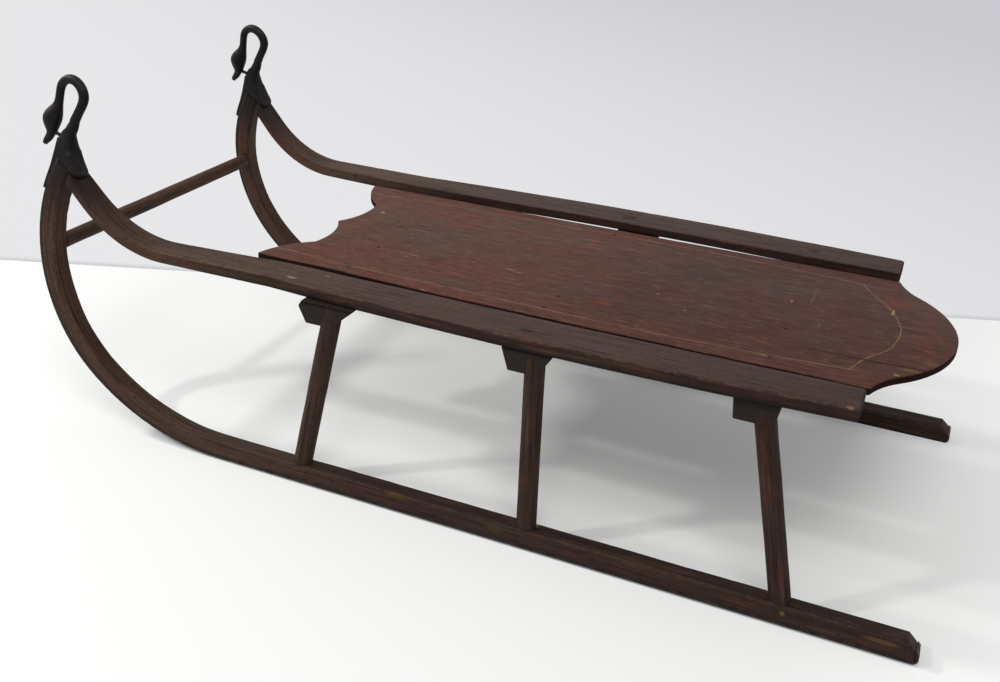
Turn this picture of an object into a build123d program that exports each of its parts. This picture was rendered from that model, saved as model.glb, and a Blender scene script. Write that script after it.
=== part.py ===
from build123d import *
from math import cos, radians, sin, sqrt, tan
import os

os.makedirs("parts", exist_ok=True)

# A child's wooden sled: two bent runners shod with iron, six splayed legs, three crossbars,
# two side rails that sweep up to the runners, a thin seat board and two cast swan finials.
# Millimetres and degrees, +X forward, +Y to the sled's left, +Z up.
# Lengths along the sled are first taken from the runners' rear end, then shifted to the middle.

# Runners, bent in one plane that leans in towards the rails
RUNNER_OUTSET = 59.5
RUNNER_LEAN = 6.7
RUNNER_WIDTH = 20.0
RUNNER_HEIGHT = 16.0
RUNNER_STRAIGHT = 692.0
SWEEP_RADIUS = 259.0
SWEEP_TURN = 37.5
NOSE_RADIUS = 170.0
RUNNER_END_TURN = 124.5
RUNNER_EDGE_ROUND = 3.5
RUNNER_TAIL_SLOPE = 8.0
RUNNER_TAIL_HEIGHT = 8.5

# Iron shoes under the runners, turned up over the rear end
SHOE_THICKNESS = 3.0
SHOE_TAIL_BEND = 5.0

# Side rails, flat bars that widen at the middle and sweep up in front
RAIL_TOP = 207.0
RAIL_THICKNESS = 12.0
RAIL_REAR = 82.0
RAIL_REAR_WIDTH = 39.5
RAIL_MIDDLE_WIDTH = 48.0
RAIL_NECK_WIDTH = 37.5
RAIL_TIP_WIDTH = 24.0
RAIL_MIDDLE = 340.0
RAIL_NECK = 640.0
RAIL_CORNER_ROUND = 3.0
RAIL_EDGE_ROUND = 2.5
RAIL_SWEEP_SHARE = 0.65
RAIL_RISE = 50.0
RAIL_MEET_TURN = 119.5

# Seat board, lying on the crossbars between the rails
SEAT_THICKNESS = 7.5
SEAT_HALF_WIDTH = 124.0
SEAT_GAP = 11.0
SEAT_EDGE_ROUND = 1.5
SEAT_CORNER_ROUND = 2.0
SEAT_TAIL = 18.0
SEAT_TAIL_HALF_WIDTH = 90.0
SEAT_TAIL_DEPTH = 40.0
SEAT_SHOULDER = 80.0
SEAT_POINT = 664.0
SEAT_SCALLOP_DEPTH = 13.0
SEAT_SCALLOP_MIDDLE = 37.0
SEAT_NOTCH = 653.5
SEAT_NOTCH_HALF_WIDTH = 67.0
SEAT_LOBE = 676.5
SEAT_LOBE_HALF_WIDTH = 94.0
SEAT_TIP = 688.0

# Crossbars under the rails and the board: wedge-ended cleats that take the legs
CROSSBAR_HEIGHT = 23.0
CROSSBAR_EDGE_ROUND = 2.0
# name: middle, top length, bottom length, bottom's shift forward, chamfer of the top's front edge,
# reach of the ends past the rails' inner edges
CROSSBARS = {
    "front": (569.0, 64.0, 27.0, 8.0, 7.0, 48.5),
    "middle": (363.8, 49.5, 28.0, 3.7, 1.5, 47.0),
    "rear": (162.6, 40.0, 34.4, 0.8, 1.5, 38.5),
}

# Legs, round, let through the crossbars so near their ends that they break out, and tenoned below
LEG_DIAMETER = 19.0
LEG_TENON_DIAMETER = 12.0
LEG_TENON = 10.0
LEG_INSET = 7.0
# name: lengthwise place of the leg at the crossbar's underside and of its foot
LEGS = {
    "front": (566.8, 595.0),
    "middle": (357.6, 351.0),
    "rear": (153.7, 114.5),
}

# Rung between the runners' noses
RUNG_DIAMETER = 16.0
RUNG_TENON_DIAMETER = 9.0
RUNG_TENON = 11.0
RUNG_TURN = 90.0

# Mortises are this much larger than their tenons, on the radius and at the bottom
TENON_CLEARANCE = 0.15

# Swan finials, one casting each: places are from the middle of the runner's upper end
FINIAL_STRAP = 4.0
FINIAL_STRAP_TURN = 111.3
FINIAL_STRAP_TOP_TURN = 118.0
FINIAL_SEAT_TURN = 1.0
FINIAL_LEG_THICKNESS = 5.0
FINIAL_LEG_SHARE = 0.2
FINIAL_LEG_ROUND = 7.0
FINIAL_EDGE_ROUND = 2.0
FINIAL_NECK_THICKNESS = 13.0
FINIAL_TAPER_START = 0.0
FINIAL_TAPER_END = 32.0
BREAST = (12.5, 13.0)
THROAT = (9.0, 26.0)
NAPE = (-6.5, 28.0)
BACK = (-8.0, 11.0)
# Neck, head and bill, from inside the body over the top to the bill's tip: forward, up, radius
SWAN = [
    (2.0, 20.0, 7.0),
    (-3.0, 32.0, 6.5),
    (-9.5, 44.0, 5.1),
    (-17.5, 57.5, 4.7),
    (-21.9, 69.0, 5.0),
    (-17.0, 80.0, 5.0),
    (-5.8, 84.4, 4.8),
    (4.5, 78.5, 4.4),
    (8.8, 66.0, 4.2),
    (11.4, 57.5, 5.0),
    (16.0, 49.5, 8.0),
    (20.2, 42.0, 9.4),
    (21.4, 33.5, 7.0),
    (23.2, 26.5, 4.5),
    (27.5, 20.8, 3.8),
    (32.0, 15.6, 2.6),
]
TIE_CHIN = (22.0, 29.5)
TIE_BREAST = (4.0, 25.0)
TIE_RADIUS = 2.0

# Places that follow from the driving dimensions
WOOD_TOP = SHOE_THICKNESS + RUNNER_HEIGHT
RAIL_INNER = SEAT_HALF_WIDTH + SEAT_GAP
RUNNER_SPREAD = 2 * (RAIL_INNER + RUNNER_OUTSET)
SWEEP_CENTER = (RUNNER_STRAIGHT, SWEEP_RADIUS)
NOSE_CENTER = (
    RUNNER_STRAIGHT + (SWEEP_RADIUS - NOSE_RADIUS) * sin(radians(SWEEP_TURN)),
    SWEEP_RADIUS - (SWEEP_RADIUS - NOSE_RADIUS) * cos(radians(SWEEP_TURN)),
)
LENGTHWISE_MIDDLE = (NOSE_CENTER[0] + NOSE_RADIUS - SHOE_THICKNESS) / 2
RUNNER_LIFT = RUNNER_WIDTH / 2 * sin(radians(RUNNER_LEAN))
RAIL_BOTTOM = RAIL_TOP - RAIL_THICKNESS
ABOVE_ALL = 1000.0


def turned(center, radius, turn):
    """A point on an arc that starts straight below its centre and turns forward and up."""
    return (center[0] + radius * sin(radians(turn)), center[1] - radius * cos(radians(turn)))


def turned_arc(center, radius, start, end):
    return ThreePointArc(
        turned(center, radius, start),
        turned(center, radius, (start + end) / 2),
        turned(center, radius, end),
    )


def face_of(edges):
    return Face(Wire(edges))


def lean(piece):
    """Sets a piece made in its own upright plane into the left runner's leaning plane."""
    return Pos(0, RUNNER_SPREAD / 2, RUNNER_LIFT) * Rot(RUNNER_LEAN, 0, 0) * piece


def across(face, width):
    """A side-view outline carried across the sled, half to each side."""
    return extrude(Plane.XZ * face, width / 2, both=True)


def leaning_point(x, height, off_plane=0.0):
    """The place on the sled of a point in the left runner's plane."""
    a = radians(RUNNER_LEAN)
    return Vector(
        x,
        RUNNER_SPREAD / 2 + off_plane * cos(a) - height * sin(a),
        RUNNER_LIFT + off_plane * sin(a) + height * cos(a),
    )


def bent_line(depth, start, end_turn):
    """The runner's bent line at a depth above its ground face, from the rear end forward."""
    return [
        Line((start, depth), (RUNNER_STRAIGHT, depth)),
        turned_arc(SWEEP_CENTER, SWEEP_RADIUS - depth, 0, SWEEP_TURN),
        turned_arc(NOSE_CENTER, NOSE_RADIUS - depth, SWEEP_TURN, end_turn),
    ]


def runner_face():
    tail = SHOE_THICKNESS + RUNNER_TAIL_HEIGHT
    return face_of(
        bent_line(SHOE_THICKNESS, 0, RUNNER_END_TURN)
        + [
            Line(
                turned(NOSE_CENTER, NOSE_RADIUS - SHOE_THICKNESS, RUNNER_END_TURN),
                turned(NOSE_CENTER, NOSE_RADIUS - WOOD_TOP, RUNNER_END_TURN),
            )
        ]
        + bent_line(WOOD_TOP, RUNNER_TAIL_SLOPE, RUNNER_END_TURN)
        + [
            Line((RUNNER_TAIL_SLOPE, WOOD_TOP), (0, tail)),
            Line((0, tail), (0, SHOE_THICKNESS)),
        ]
    )


def is_upper_edge(edge):
    """True for the long edges on the runner's upper face, straight or bent."""
    if edge.geom_type == GeomType.CIRCLE:
        radii = (SWEEP_RADIUS - WOOD_TOP, NOSE_RADIUS - WOOD_TOP)
        return any(abs(edge.radius - radius) < 0.01 for radius in radii)
    low = min(vertex.Z for vertex in edge.vertices())
    return abs(low - WOOD_TOP) < 0.01 and edge.length > RUNNER_WIDTH


def make_runner():
    bar = across(runner_face(), RUNNER_WIDTH)
    bar = fillet([edge for edge in bar.edges() if is_upper_edge(edge)], RUNNER_EDGE_ROUND)
    return lean(bar)


def make_shoe():
    lap = SHOE_THICKNESS + RUNNER_TAIL_HEIGHT
    lap_drop = SHOE_THICKNESS * (RUNNER_HEIGHT - RUNNER_TAIL_HEIGHT) / RUNNER_TAIL_SLOPE
    bend = SHOE_TAIL_BEND
    rear = -SHOE_THICKNESS
    corner = (rear + bend * (1 - sqrt(0.5)), bend * (1 - sqrt(0.5)))
    strip = face_of(
        bent_line(0, rear + bend, RUNNER_END_TURN)
        + [
            Line(
                turned(NOSE_CENTER, NOSE_RADIUS, RUNNER_END_TURN),
                turned(NOSE_CENTER, NOSE_RADIUS - SHOE_THICKNESS, RUNNER_END_TURN),
            )
        ]
        + bent_line(SHOE_THICKNESS, 0, RUNNER_END_TURN)
        + [
            Line((0, SHOE_THICKNESS), (0, lap)),
            Line((0, lap), (rear, lap - lap_drop)),
            Line((rear, lap - lap_drop), (rear, bend)),
            ThreePointArc((rear, bend), corner, (rear + bend, 0)),
        ]
    )
    return lean(across(strip, RUNNER_WIDTH))


# Where the rail's underside meets the runner, and the sweep that leads up to it
MEET = turned(NOSE_CENTER, NOSE_RADIUS - WOOD_TOP, RAIL_MEET_TURN)
MEET_HEIGHT = leaning_point(*MEET).Z
RAIL_CLIMB = MEET_HEIGHT - RAIL_BOTTOM
RAIL_UNDER_RADIUS = RAIL_CLIMB * RAIL_SWEEP_SHARE / (1 - cos(radians(RAIL_RISE)))
RAIL_SWEEP_RADIUS = RAIL_UNDER_RADIUS - RAIL_THICKNESS
RAIL_RUN = RAIL_CLIMB * (1 - RAIL_SWEEP_SHARE) / sin(radians(RAIL_RISE))
RAIL_BEND_START = (
    MEET[0] - RAIL_UNDER_RADIUS * sin(radians(RAIL_RISE)) - RAIL_RUN * cos(radians(RAIL_RISE))
)
RAIL_BEND_CENTER = (RAIL_BEND_START, RAIL_TOP + RAIL_SWEEP_RADIUS)
RAIL_TIP_MIDDLE = leaning_point(*MEET).Y


def along_rail(radius, run):
    """A point on the rail's sloping end, a run beyond the bend, at a radius from its centre."""
    x, z = turned(RAIL_BEND_CENTER, radius, RAIL_RISE)
    return (x + run * cos(radians(RAIL_RISE)), z + run * sin(radians(RAIL_RISE)))


def rail_side_face():
    """The rail seen from the side; its front end runs into the runner, where it is coped."""
    run = RAIL_RUN + RUNNER_HEIGHT / 2
    return face_of(
        [
            Line((RAIL_REAR, RAIL_BOTTOM), (RAIL_BEND_START, RAIL_BOTTOM)),
            turned_arc(RAIL_BEND_CENTER, RAIL_UNDER_RADIUS, 0, RAIL_RISE),
            Line(along_rail(RAIL_UNDER_RADIUS, 0), along_rail(RAIL_UNDER_RADIUS, run)),
            Line(along_rail(RAIL_UNDER_RADIUS, run), along_rail(RAIL_SWEEP_RADIUS, run)),
            Line(along_rail(RAIL_SWEEP_RADIUS, run), along_rail(RAIL_SWEEP_RADIUS, 0)),
            turned_arc(RAIL_BEND_CENTER, RAIL_SWEEP_RADIUS, 0, RAIL_RISE),
            Line((RAIL_BEND_START, RAIL_TOP), (RAIL_REAR, RAIL_TOP)),
            Line((RAIL_REAR, RAIL_TOP), (RAIL_REAR, RAIL_BOTTOM)),
        ]
    )


def rail_plan_face():
    """The rail seen from above: straight inner edge, bowed outer edge, narrowing to the tip."""
    tip = along_rail(RAIL_UNDER_RADIUS, RAIL_RUN + RUNNER_HEIGHT)[0]
    tip_inner = RAIL_TIP_MIDDLE - RAIL_TIP_WIDTH / 2
    tip_outer = RAIL_TIP_MIDDLE + RAIL_TIP_WIDTH / 2
    rear_outer = (RAIL_REAR, RAIL_INNER + RAIL_REAR_WIDTH)
    neck_outer = (RAIL_NECK, RAIL_INNER + RAIL_NECK_WIDTH)
    outline = face_of(
        [
            Line((RAIL_REAR, RAIL_INNER), (RAIL_NECK, RAIL_INNER)),
            Line((RAIL_NECK, RAIL_INNER), (tip, tip_inner)),
            Line((tip, tip_inner), (tip, tip_outer)),
            Line((tip, tip_outer), neck_outer),
            ThreePointArc(neck_outer, (RAIL_MIDDLE, RAIL_INNER + RAIL_MIDDLE_WIDTH), rear_outer),
            Line(rear_outer, (RAIL_REAR, RAIL_INNER)),
        ]
    )
    rear_corners = outline.vertices().group_by(Axis.X)[0]
    return fillet(rear_corners, RAIL_CORNER_ROUND)


def is_rail_top_edge(edge):
    """True for the rail's long upper edges, flat, bent and sloping."""
    box = edge.bounding_box()
    if box.size.X < RAIL_CORNER_ROUND * 2:
        return False
    point = edge @ 0.5
    out = point.X - RAIL_BEND_CENTER[0]
    down = RAIL_BEND_CENTER[1] - point.Z
    if out <= 0:
        depth = down - RAIL_SWEEP_RADIUS
    elif out < down * tan(radians(RAIL_RISE)):
        depth = sqrt(out * out + down * down) - RAIL_SWEEP_RADIUS
    else:
        depth = out * sin(radians(RAIL_RISE)) + down * cos(radians(RAIL_RISE)) - RAIL_SWEEP_RADIUS
    return abs(depth) < RAIL_THICKNESS / 4


def make_rail():
    bar = across(rail_side_face(), ABOVE_ALL)
    bar = bar & extrude(rail_plan_face(), ABOVE_ALL)
    bar = fillet([edge for edge in bar.edges() if is_rail_top_edge(edge)], RAIL_EDGE_ROUND)
    wide_runner = lean(across(runner_face(), RUNNER_WIDTH + 2 * RAIL_TIP_WIDTH))
    return bar - wide_runner


def make_seat():
    nose_half = SEAT_TAIL + SEAT_TAIL_DEPTH
    tail = ThreePointArc(
        (nose_half, SEAT_TAIL_HALF_WIDTH), (SEAT_TAIL, 0), (nose_half, -SEAT_TAIL_HALF_WIDTH)
    )
    outline = [tail]
    for side in (1, -1):
        shoulder = (SEAT_SHOULDER, side * SEAT_HALF_WIDTH)
        neck = (nose_half, side * SEAT_TAIL_HALF_WIDTH)
        notch = (SEAT_NOTCH, side * SEAT_NOTCH_HALF_WIDTH)
        tip = (SEAT_TIP, side * SEAT_HALF_WIDTH)
        heading = -(tail % 0) if side > 0 else tail % 1
        outline += [
            TangentArc(neck, shoulder, tangent=heading),
            Line(shoulder, tip),
            ThreePointArc(tip, (SEAT_LOBE, side * SEAT_LOBE_HALF_WIDTH), notch),
            ThreePointArc(
                notch,
                (SEAT_POINT - SEAT_SCALLOP_DEPTH, side * SEAT_SCALLOP_MIDDLE),
                (SEAT_POINT, 0),
            ),
        ]
    outline = face_of(outline)
    is_smooth = lambda point: abs(abs(point.Y) - SEAT_TAIL_HALF_WIDTH) < SEAT_CORNER_ROUND
    corners = [point for point in outline.vertices() if not is_smooth(point)]
    board = extrude(fillet(corners, SEAT_CORNER_ROUND), SEAT_THICKNESS)
    board = fillet(board.faces().sort_by(Axis.Z)[-1].edges(), SEAT_EDGE_ROUND)
    return Pos(0, 0, RAIL_BOTTOM) * board


class Leg:
    """One left leg: its axis from the crossbar's underside down to the runner's upper face."""

    def __init__(self, top, foot, crossbar_reach):
        half_spread = RAIL_INNER + crossbar_reach - LEG_INSET
        self.top = Vector(top, half_spread, RAIL_BOTTOM - CROSSBAR_HEIGHT)
        self.foot = leaning_point(foot, WOOD_TOP)
        self.down = (self.foot - self.top).normalized()

    def rod(self, diameter, above, below):
        """A round rod on the leg's axis, reaching past the top and the foot."""
        start = self.top - self.down * above
        length = (self.foot - self.top).length + above + below
        return extrude(Plane(start, z_dir=self.down) * Circle(diameter / 2), length)

    def tenon(self, clearance):
        return self.rod(LEG_TENON_DIAMETER + 2 * clearance, 0, LEG_TENON + clearance)

    def socket(self):
        """The round hole right through the crossbar."""
        return self.rod(LEG_DIAMETER + 2 * TENON_CLEARANCE, CROSSBAR_HEIGHT * 2, 0)

    def solid(self):
        reach = CROSSBAR_HEIGHT * 2
        slab = extrude(Rectangle(ABOVE_ALL * 3, ABOVE_ALL), reach)
        above_bar = Pos(0, 0, RAIL_BOTTOM) * slab
        below_top = lean(Pos(0, 0, WOOD_TOP - reach) * slab)
        return self.rod(LEG_DIAMETER, reach, LEG_DIAMETER) - above_bar - below_top + self.tenon(0)


def make_crossbar(middle, top_length, bottom_length, shift, front_chamfer, reach):
    low = RAIL_BOTTOM - CROSSBAR_HEIGHT
    profile = face_of(
        Polyline(
            (middle - top_length / 2, RAIL_BOTTOM),
            (middle + top_length / 2, RAIL_BOTTOM),
            (middle + shift + bottom_length / 2, low),
            (middle + shift - bottom_length / 2, low),
            close=True,
        ).edges()
    )
    top_front = profile.vertices().group_by(Axis.Y)[-1].sort_by(Axis.X)[-1]
    profile = chamfer(top_front, front_chamfer)
    lower = profile.vertices().group_by(Axis.Y)[0]
    return across(fillet(lower, CROSSBAR_EDGE_ROUND), 2 * (RAIL_INNER + reach))


def rung_rod(diameter, half_length):
    x, height = turned(NOSE_CENTER, NOSE_RADIUS - SHOE_THICKNESS - RUNNER_HEIGHT / 2, RUNG_TURN)
    rod = Plane((x, 0, leaning_point(x, height).Z), z_dir=(0, 1, 0)) * Circle(diameter / 2)
    return extrude(rod, half_length, both=True)


def make_rung():
    height = turned(NOSE_CENTER, NOSE_RADIUS, RUNG_TURN)[1]
    inner_face = leaning_point(0, height, -RUNNER_WIDTH / 2).Y
    body = rung_rod(RUNG_DIAMETER, inner_face + RUNG_DIAMETER)
    wall = Box(2 * ABOVE_ALL, 2 * RUNNER_WIDTH, ABOVE_ALL)
    runner_side = lean(Pos(LENGTHWISE_MIDDLE, RUNNER_WIDTH / 2, 0) * wall)
    body = body - runner_side - mirror(runner_side, Plane.XZ)
    return body + rung_rod(RUNG_TENON_DIAMETER, inner_face + RUNG_TENON), inner_face


def local(point):
    """A finial's point, from the middle of the runner's upper end."""
    x, height = turned(NOSE_CENTER, NOSE_RADIUS - WOOD_TOP / 2, RUNNER_END_TURN)
    return (x + point[0], height + point[1])


def in_plane(point):
    return Vector(point[0], 0, point[1])


def along(body, lines):
    """The edges of a body that run along given lines of its side view."""
    edges = []
    for edge in body.edges():
        middle = edge @ 0.5
        is_across = abs((edge @ 0).Y - (edge @ 1).Y) > RUNNER_WIDTH / 2
        if not is_across and any(line.distance_to((middle.X, middle.Z)) < 0.01 for line in lines):
            edges.append(edge)
    return edges


def finial_body():
    strap_outer = NOSE_RADIUS + FINIAL_STRAP
    strap_inner = NOSE_RADIUS - SHOE_THICKNESS / 2
    run = RAIL_RUN * (1 - FINIAL_LEG_SHARE)
    leg_under = along_rail(RAIL_SWEEP_RADIUS + FINIAL_LEG_THICKNESS / 2, run)
    leg_over = along_rail(RAIL_SWEEP_RADIUS - FINIAL_LEG_THICKNESS, run)
    strap_top = turned(NOSE_CENTER, strap_outer, FINIAL_STRAP_TOP_TURN)
    seat_turn = RUNNER_END_TURN - FINIAL_SEAT_TURN
    seat_point = turned(NOSE_CENTER, NOSE_RADIUS - WOOD_TOP / 2, seat_turn)
    breast = [ThreePointArc(strap_top, local(BREAST), local(THROAT))]
    back = [ThreePointArc(local(NAPE), local(BACK), leg_over)]
    leg_end = [Line(leg_over, leg_under)]
    outline = face_of(
        [turned_arc(NOSE_CENTER, strap_outer, FINIAL_STRAP_TURN, FINIAL_STRAP_TOP_TURN)]
        + breast
        + [Line(local(THROAT), local(NAPE))]
        + back
        + leg_end
        + [
            Line(leg_under, seat_point),
            Line(seat_point, turned(NOSE_CENTER, strap_inner, seat_turn)),
            turned_arc(NOSE_CENTER, strap_inner, FINIAL_STRAP_TURN, seat_turn),
            Line(
                turned(NOSE_CENTER, strap_inner, FINIAL_STRAP_TURN),
                turned(NOSE_CENTER, strap_outer, FINIAL_STRAP_TURN),
            ),
        ]
    )
    low = local((0, FINIAL_TAPER_START))[1]
    high = local((0, FINIAL_TAPER_END))[1]
    wide = RUNNER_WIDTH / 2
    thin = FINIAL_NECK_THICKNESS / 2
    front_view = face_of(
        [
            Line((-wide, 0), (wide, 0)),
            Line((wide, 0), (wide, low)),
            TangentArc((wide, low), (thin, high), tangent=(0, 1)),
            Line((thin, high), (-thin, high)),
            TangentArc((-wide, low), (-thin, high), tangent=(0, 1)),
            Line((-wide, low), (-wide, 0)),
        ]
    )
    taper = extrude(Plane.YZ * front_view, ABOVE_ALL * 2)
    body = across(outline, RUNNER_WIDTH) & taper
    body = fillet(along(body, leg_end), FINIAL_LEG_ROUND)
    return fillet(along(body, breast + back), FINIAL_EDGE_ROUND)


def finial_swan():
    """Neck, head and bill: one loft through round sections, each square to the swan's line."""
    middles = [in_plane(local(section[:2])) for section in SWAN]
    sections = []
    for i, (_, _, radius) in enumerate(SWAN):
        ahead = middles[min(i + 1, len(SWAN) - 1)] - middles[max(i - 1, 0)]
        sections.append(Plane(middles[i], x_dir=(0, 1, 0), z_dir=ahead) * Circle(radius))
    return loft(sections)


def finial_tie():
    """The small bridge that the casting leaves between the chin and the breast."""
    chin = in_plane(local(TIE_CHIN))
    way = in_plane(local(TIE_BREAST)) - chin
    return Solid.make_cylinder(TIE_RADIUS, way.length, Plane(chin, z_dir=way))


def make_finial(runner, shoe, rail):
    """The casting, fitted to runner, shoe and rail, less the scrap in the runner's rounded edge."""
    casting = finial_body() + finial_swan() + finial_tie()
    fitted = lean(casting) - runner - shoe - rail
    return max(fitted.solids(), key=lambda solid: solid.volume)


def build():
    nodes = {}
    runner = make_runner()
    shoe = make_shoe()
    rail = make_rail()
    finial = make_finial(runner, shoe, rail)
    rung, rung_seat = make_rung()
    mortises = rung_rod(
        RUNG_TENON_DIAMETER + 2 * TENON_CLEARANCE, rung_seat + RUNG_TENON + TENON_CLEARANCE
    )
    for name, (top, foot) in LEGS.items():
        leg = Leg(top, foot, CROSSBARS[name][-1])
        crossbar = make_crossbar(*CROSSBARS[name])
        for side, word in ((1, "left"), (-1, "right")):
            socket = leg.socket()
            crossbar = crossbar - (socket if side > 0 else mirror(socket, Plane.XZ))
            piece = leg.solid()
            nodes[f"leg_{name}_{word}"] = piece if side > 0 else mirror(piece, Plane.XZ)
        nodes[f"crossbar_{name}"] = crossbar
        mortises = mortises + leg.tenon(TENON_CLEARANCE)
    runner = runner - mortises
    for name, piece in (("runner", runner), ("shoe", shoe), ("rail", rail), ("finial", finial)):
        nodes[f"{name}_left"] = piece
        nodes[f"{name}_right"] = mirror(piece, Plane.XZ)
    nodes["rung"] = rung
    nodes["seat_board"] = make_seat()
    return nodes


for name, piece in build().items():
    export_step(Pos(-LENGTHWISE_MIDDLE, 0, 0) * piece, f"parts/{name}.step")
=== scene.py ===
"""Looks of a child's wooden sled: worn wood, a painted board, cast swan finials and iron strips."""

from math import cos, pi, radians, sin, tan

import bmesh
import bpy
from mathutils import Matrix, Vector, noise


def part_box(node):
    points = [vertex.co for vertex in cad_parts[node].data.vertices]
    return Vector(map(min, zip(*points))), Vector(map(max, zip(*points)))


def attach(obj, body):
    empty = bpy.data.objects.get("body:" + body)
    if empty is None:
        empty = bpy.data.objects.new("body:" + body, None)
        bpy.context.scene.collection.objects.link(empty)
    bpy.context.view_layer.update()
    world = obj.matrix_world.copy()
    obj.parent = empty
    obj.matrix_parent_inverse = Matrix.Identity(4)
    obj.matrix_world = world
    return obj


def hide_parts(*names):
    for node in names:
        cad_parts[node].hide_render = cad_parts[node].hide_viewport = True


bl_info = {
    "name": "Child sled",
    "version": (1, 0, 0),
    "blender": (4, 5, 0),
    "location": "3D View > Sidebar > Sled",
    "description": "Dresses the solids of a child's sled in worn wood, old paint and iron",
    "category": "Object",
}

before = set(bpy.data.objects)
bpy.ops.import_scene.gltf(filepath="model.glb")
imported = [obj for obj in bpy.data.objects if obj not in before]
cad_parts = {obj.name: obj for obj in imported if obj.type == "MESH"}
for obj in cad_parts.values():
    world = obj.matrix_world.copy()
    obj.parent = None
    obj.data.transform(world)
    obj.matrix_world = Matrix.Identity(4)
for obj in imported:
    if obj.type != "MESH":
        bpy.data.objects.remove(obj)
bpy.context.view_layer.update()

# Shapes are worked out in millimetres, lengths taken from the runners' rear end, +Y to the left
MM = 0.001
LENGTHWISE_MIDDLE = 456.59
SIDES = {"left": 1, "right": -1}
# Distance between a stick's cross-sections on straight stretches and round bends, and its end's bevel
STRAIGHT_STEP = 6.0
BEND_STEP = 5.0
END_BEVEL = 1.2
# Wear along an edge: lengths of its waves and dents, the noise at which a dent starts, and how much
# of the rounding each adds; the least wear on a rounded edge; and where each kind's noise starts
WAVE_LENGTH = 40.0
DENT_LENGTH = 7.0
DENT_START = 0.42
WAVE_SHARE = 0.3
DENT_SHARE = 1.2
WEAR_LEAST = 0.3
SEEDS = {"rail": 20, "crossbar": 40, "leg": 60, "rung": 80, "board": 90}
# Shaved round sticks: their sides, the ridges between them as a share of the radius, the wear on a
# ridge, and the depth and length of the hollows
SHAVED_SIDES = 8
SHAVED_RIDGE = 0.014
RIDGE_WEAR = 0.45
HOLLOW_DEPTH = 0.25
HOLLOW_LENGTH = 30.0


def turned(center, radius, turn):
    """A point on an arc that starts straight below its centre and turns forward and up."""
    return Vector((center[0] + radius * sin(turn), center[1] - radius * cos(turn)))


# Runners
RUNNER_HALF_SPREAD = 194.5
RUNNER_LEAN = radians(6.7)
RUNNER_HALF_WIDTH = 10.0
RUNNER_LIFT = RUNNER_HALF_WIDTH * sin(RUNNER_LEAN)
RUNNER_UNDER = 3.0
RUNNER_TOP = 19.0
RUNNER_STRAIGHT = 692.0
SWEEP_RADIUS = 259.0
SWEEP_TURN = radians(37.5)
NOSE_RADIUS = 170.0
NOSE_END_TURN = radians(124.5)
SWEEP_CENTER = (RUNNER_STRAIGHT, SWEEP_RADIUS)
NOSE_CENTER = (
    RUNNER_STRAIGHT + (SWEEP_RADIUS - NOSE_RADIUS) * sin(SWEEP_TURN),
    SWEEP_RADIUS - (SWEEP_RADIUS - NOSE_RADIUS) * cos(SWEEP_TURN),
)
SWEEP_LENGTH = SWEEP_RADIUS * SWEEP_TURN
NOSE_LENGTH = NOSE_RADIUS * (NOSE_END_TURN - SWEEP_TURN)
RUNNER_END = turned(NOSE_CENTER, NOSE_RADIUS - RUNNER_TOP / 2, NOSE_END_TURN)
RUNNER_TAIL_SLOPE = 8.0
RUNNER_TAIL_TOP = 11.5
RUNNER_TAIL_STEP = 3.0
# Rounding of the inner and outer low edges, and the most that the upper ones are worn
RUNNER_LOW_EDGE = (0.8, 0.9)
RUNNER_EDGE_MOST = 5.5
# How far a runner is from true, and the lengths of the waves in its top and its width
RUNNER_UNEVEN = 0.25
RUNNER_TOP_WAVE = 70.0
RUNNER_WIDTH_WAVE = 80.0

# Rails
RAIL_TOP = 207.0
RAIL_THICKNESS = 12.0
RAIL_REAR = 82.0
RAIL_MIDDLE = 340.0
RAIL_NECK = 640.0
RAIL_INNER = 135.0
RAIL_REAR_OUTER = 174.5
RAIL_MIDDLE_OUTER = 183.0
RAIL_NECK_OUTER = 172.5
RAIL_TIP_HALF_WIDTH = 12.0
RAIL_RISE = radians(50.0)
RAIL_MEET_TURN = radians(119.5)
RAIL_SWEEP_SHARE = 0.65
RAIL_PAST_MEET = 16.0
RAIL_END_BEVEL = 2.2
RAIL_END_INSET = 2.0
# How finely and how far the sloping end is followed to the runner
RAIL_RUN_STEP = 0.25
RAIL_RUN_MOST = 90.0
# How far a rail is from true, and the length of its waves
RAIL_UNEVEN = 0.3
RAIL_WAVE = 90.0
# The most that an edge is worn, and its share of the usual rounding: inner low, outer low, outer top
# and inner top
RAIL_EDGES = ((1.5, 0.4), (3.0, 0.6), (5.0, 1.0), (2.2, 0.6))
# Inner edge worn by hands: its middle and reach along the rail, the wear's depth, width and height,
# the least share of it, and the rounding where it ends
RAIL_GRIP_MIDDLE = 354.5
RAIL_GRIP_REACH = 257.0
RAIL_GRIP = (2.6, 8.0, 3.2)
RAIL_GRIP_LEAST = 0.15
RAIL_GRIP_EDGE = 0.8

# Crossbars: middle, top length, bottom length, bottom's shift forward, front chamfer, half span
CROSSBAR_TOP = 195.0
CROSSBAR_HEIGHT = 23.0
CROSSBARS = {
    "front": (569.0, 64.0, 27.0, 8.0, 7.0, 183.5),
    "middle": (363.8, 49.5, 28.0, 3.7, 1.5, 182.0),
    "rear": (162.6, 40.0, 34.4, 0.8, 1.5, 173.5),
}
# The most that a bar's edge is worn, its upper rear edge's share of the rounding, the rounding of the
# chamfer's edges as its share, and the step from one edge's noise to the next
CROSSBAR_EDGE_MOST = 3.0
CROSSBAR_REAR_SHARE = 0.7
CHAMFER_EDGE_SHARE = 0.3
CROSSBAR_SEED_STEP = 0.3

# Legs: lengthwise place at the crossbar's underside and at the foot
LEG_RADIUS = 9.5
LEG_INSET = 7.0
LEGS = {"front": (566.8, 595.0), "middle": (357.6, 351.0), "rear": (153.7, 114.5)}
LEG_STEP = 5.0
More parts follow.
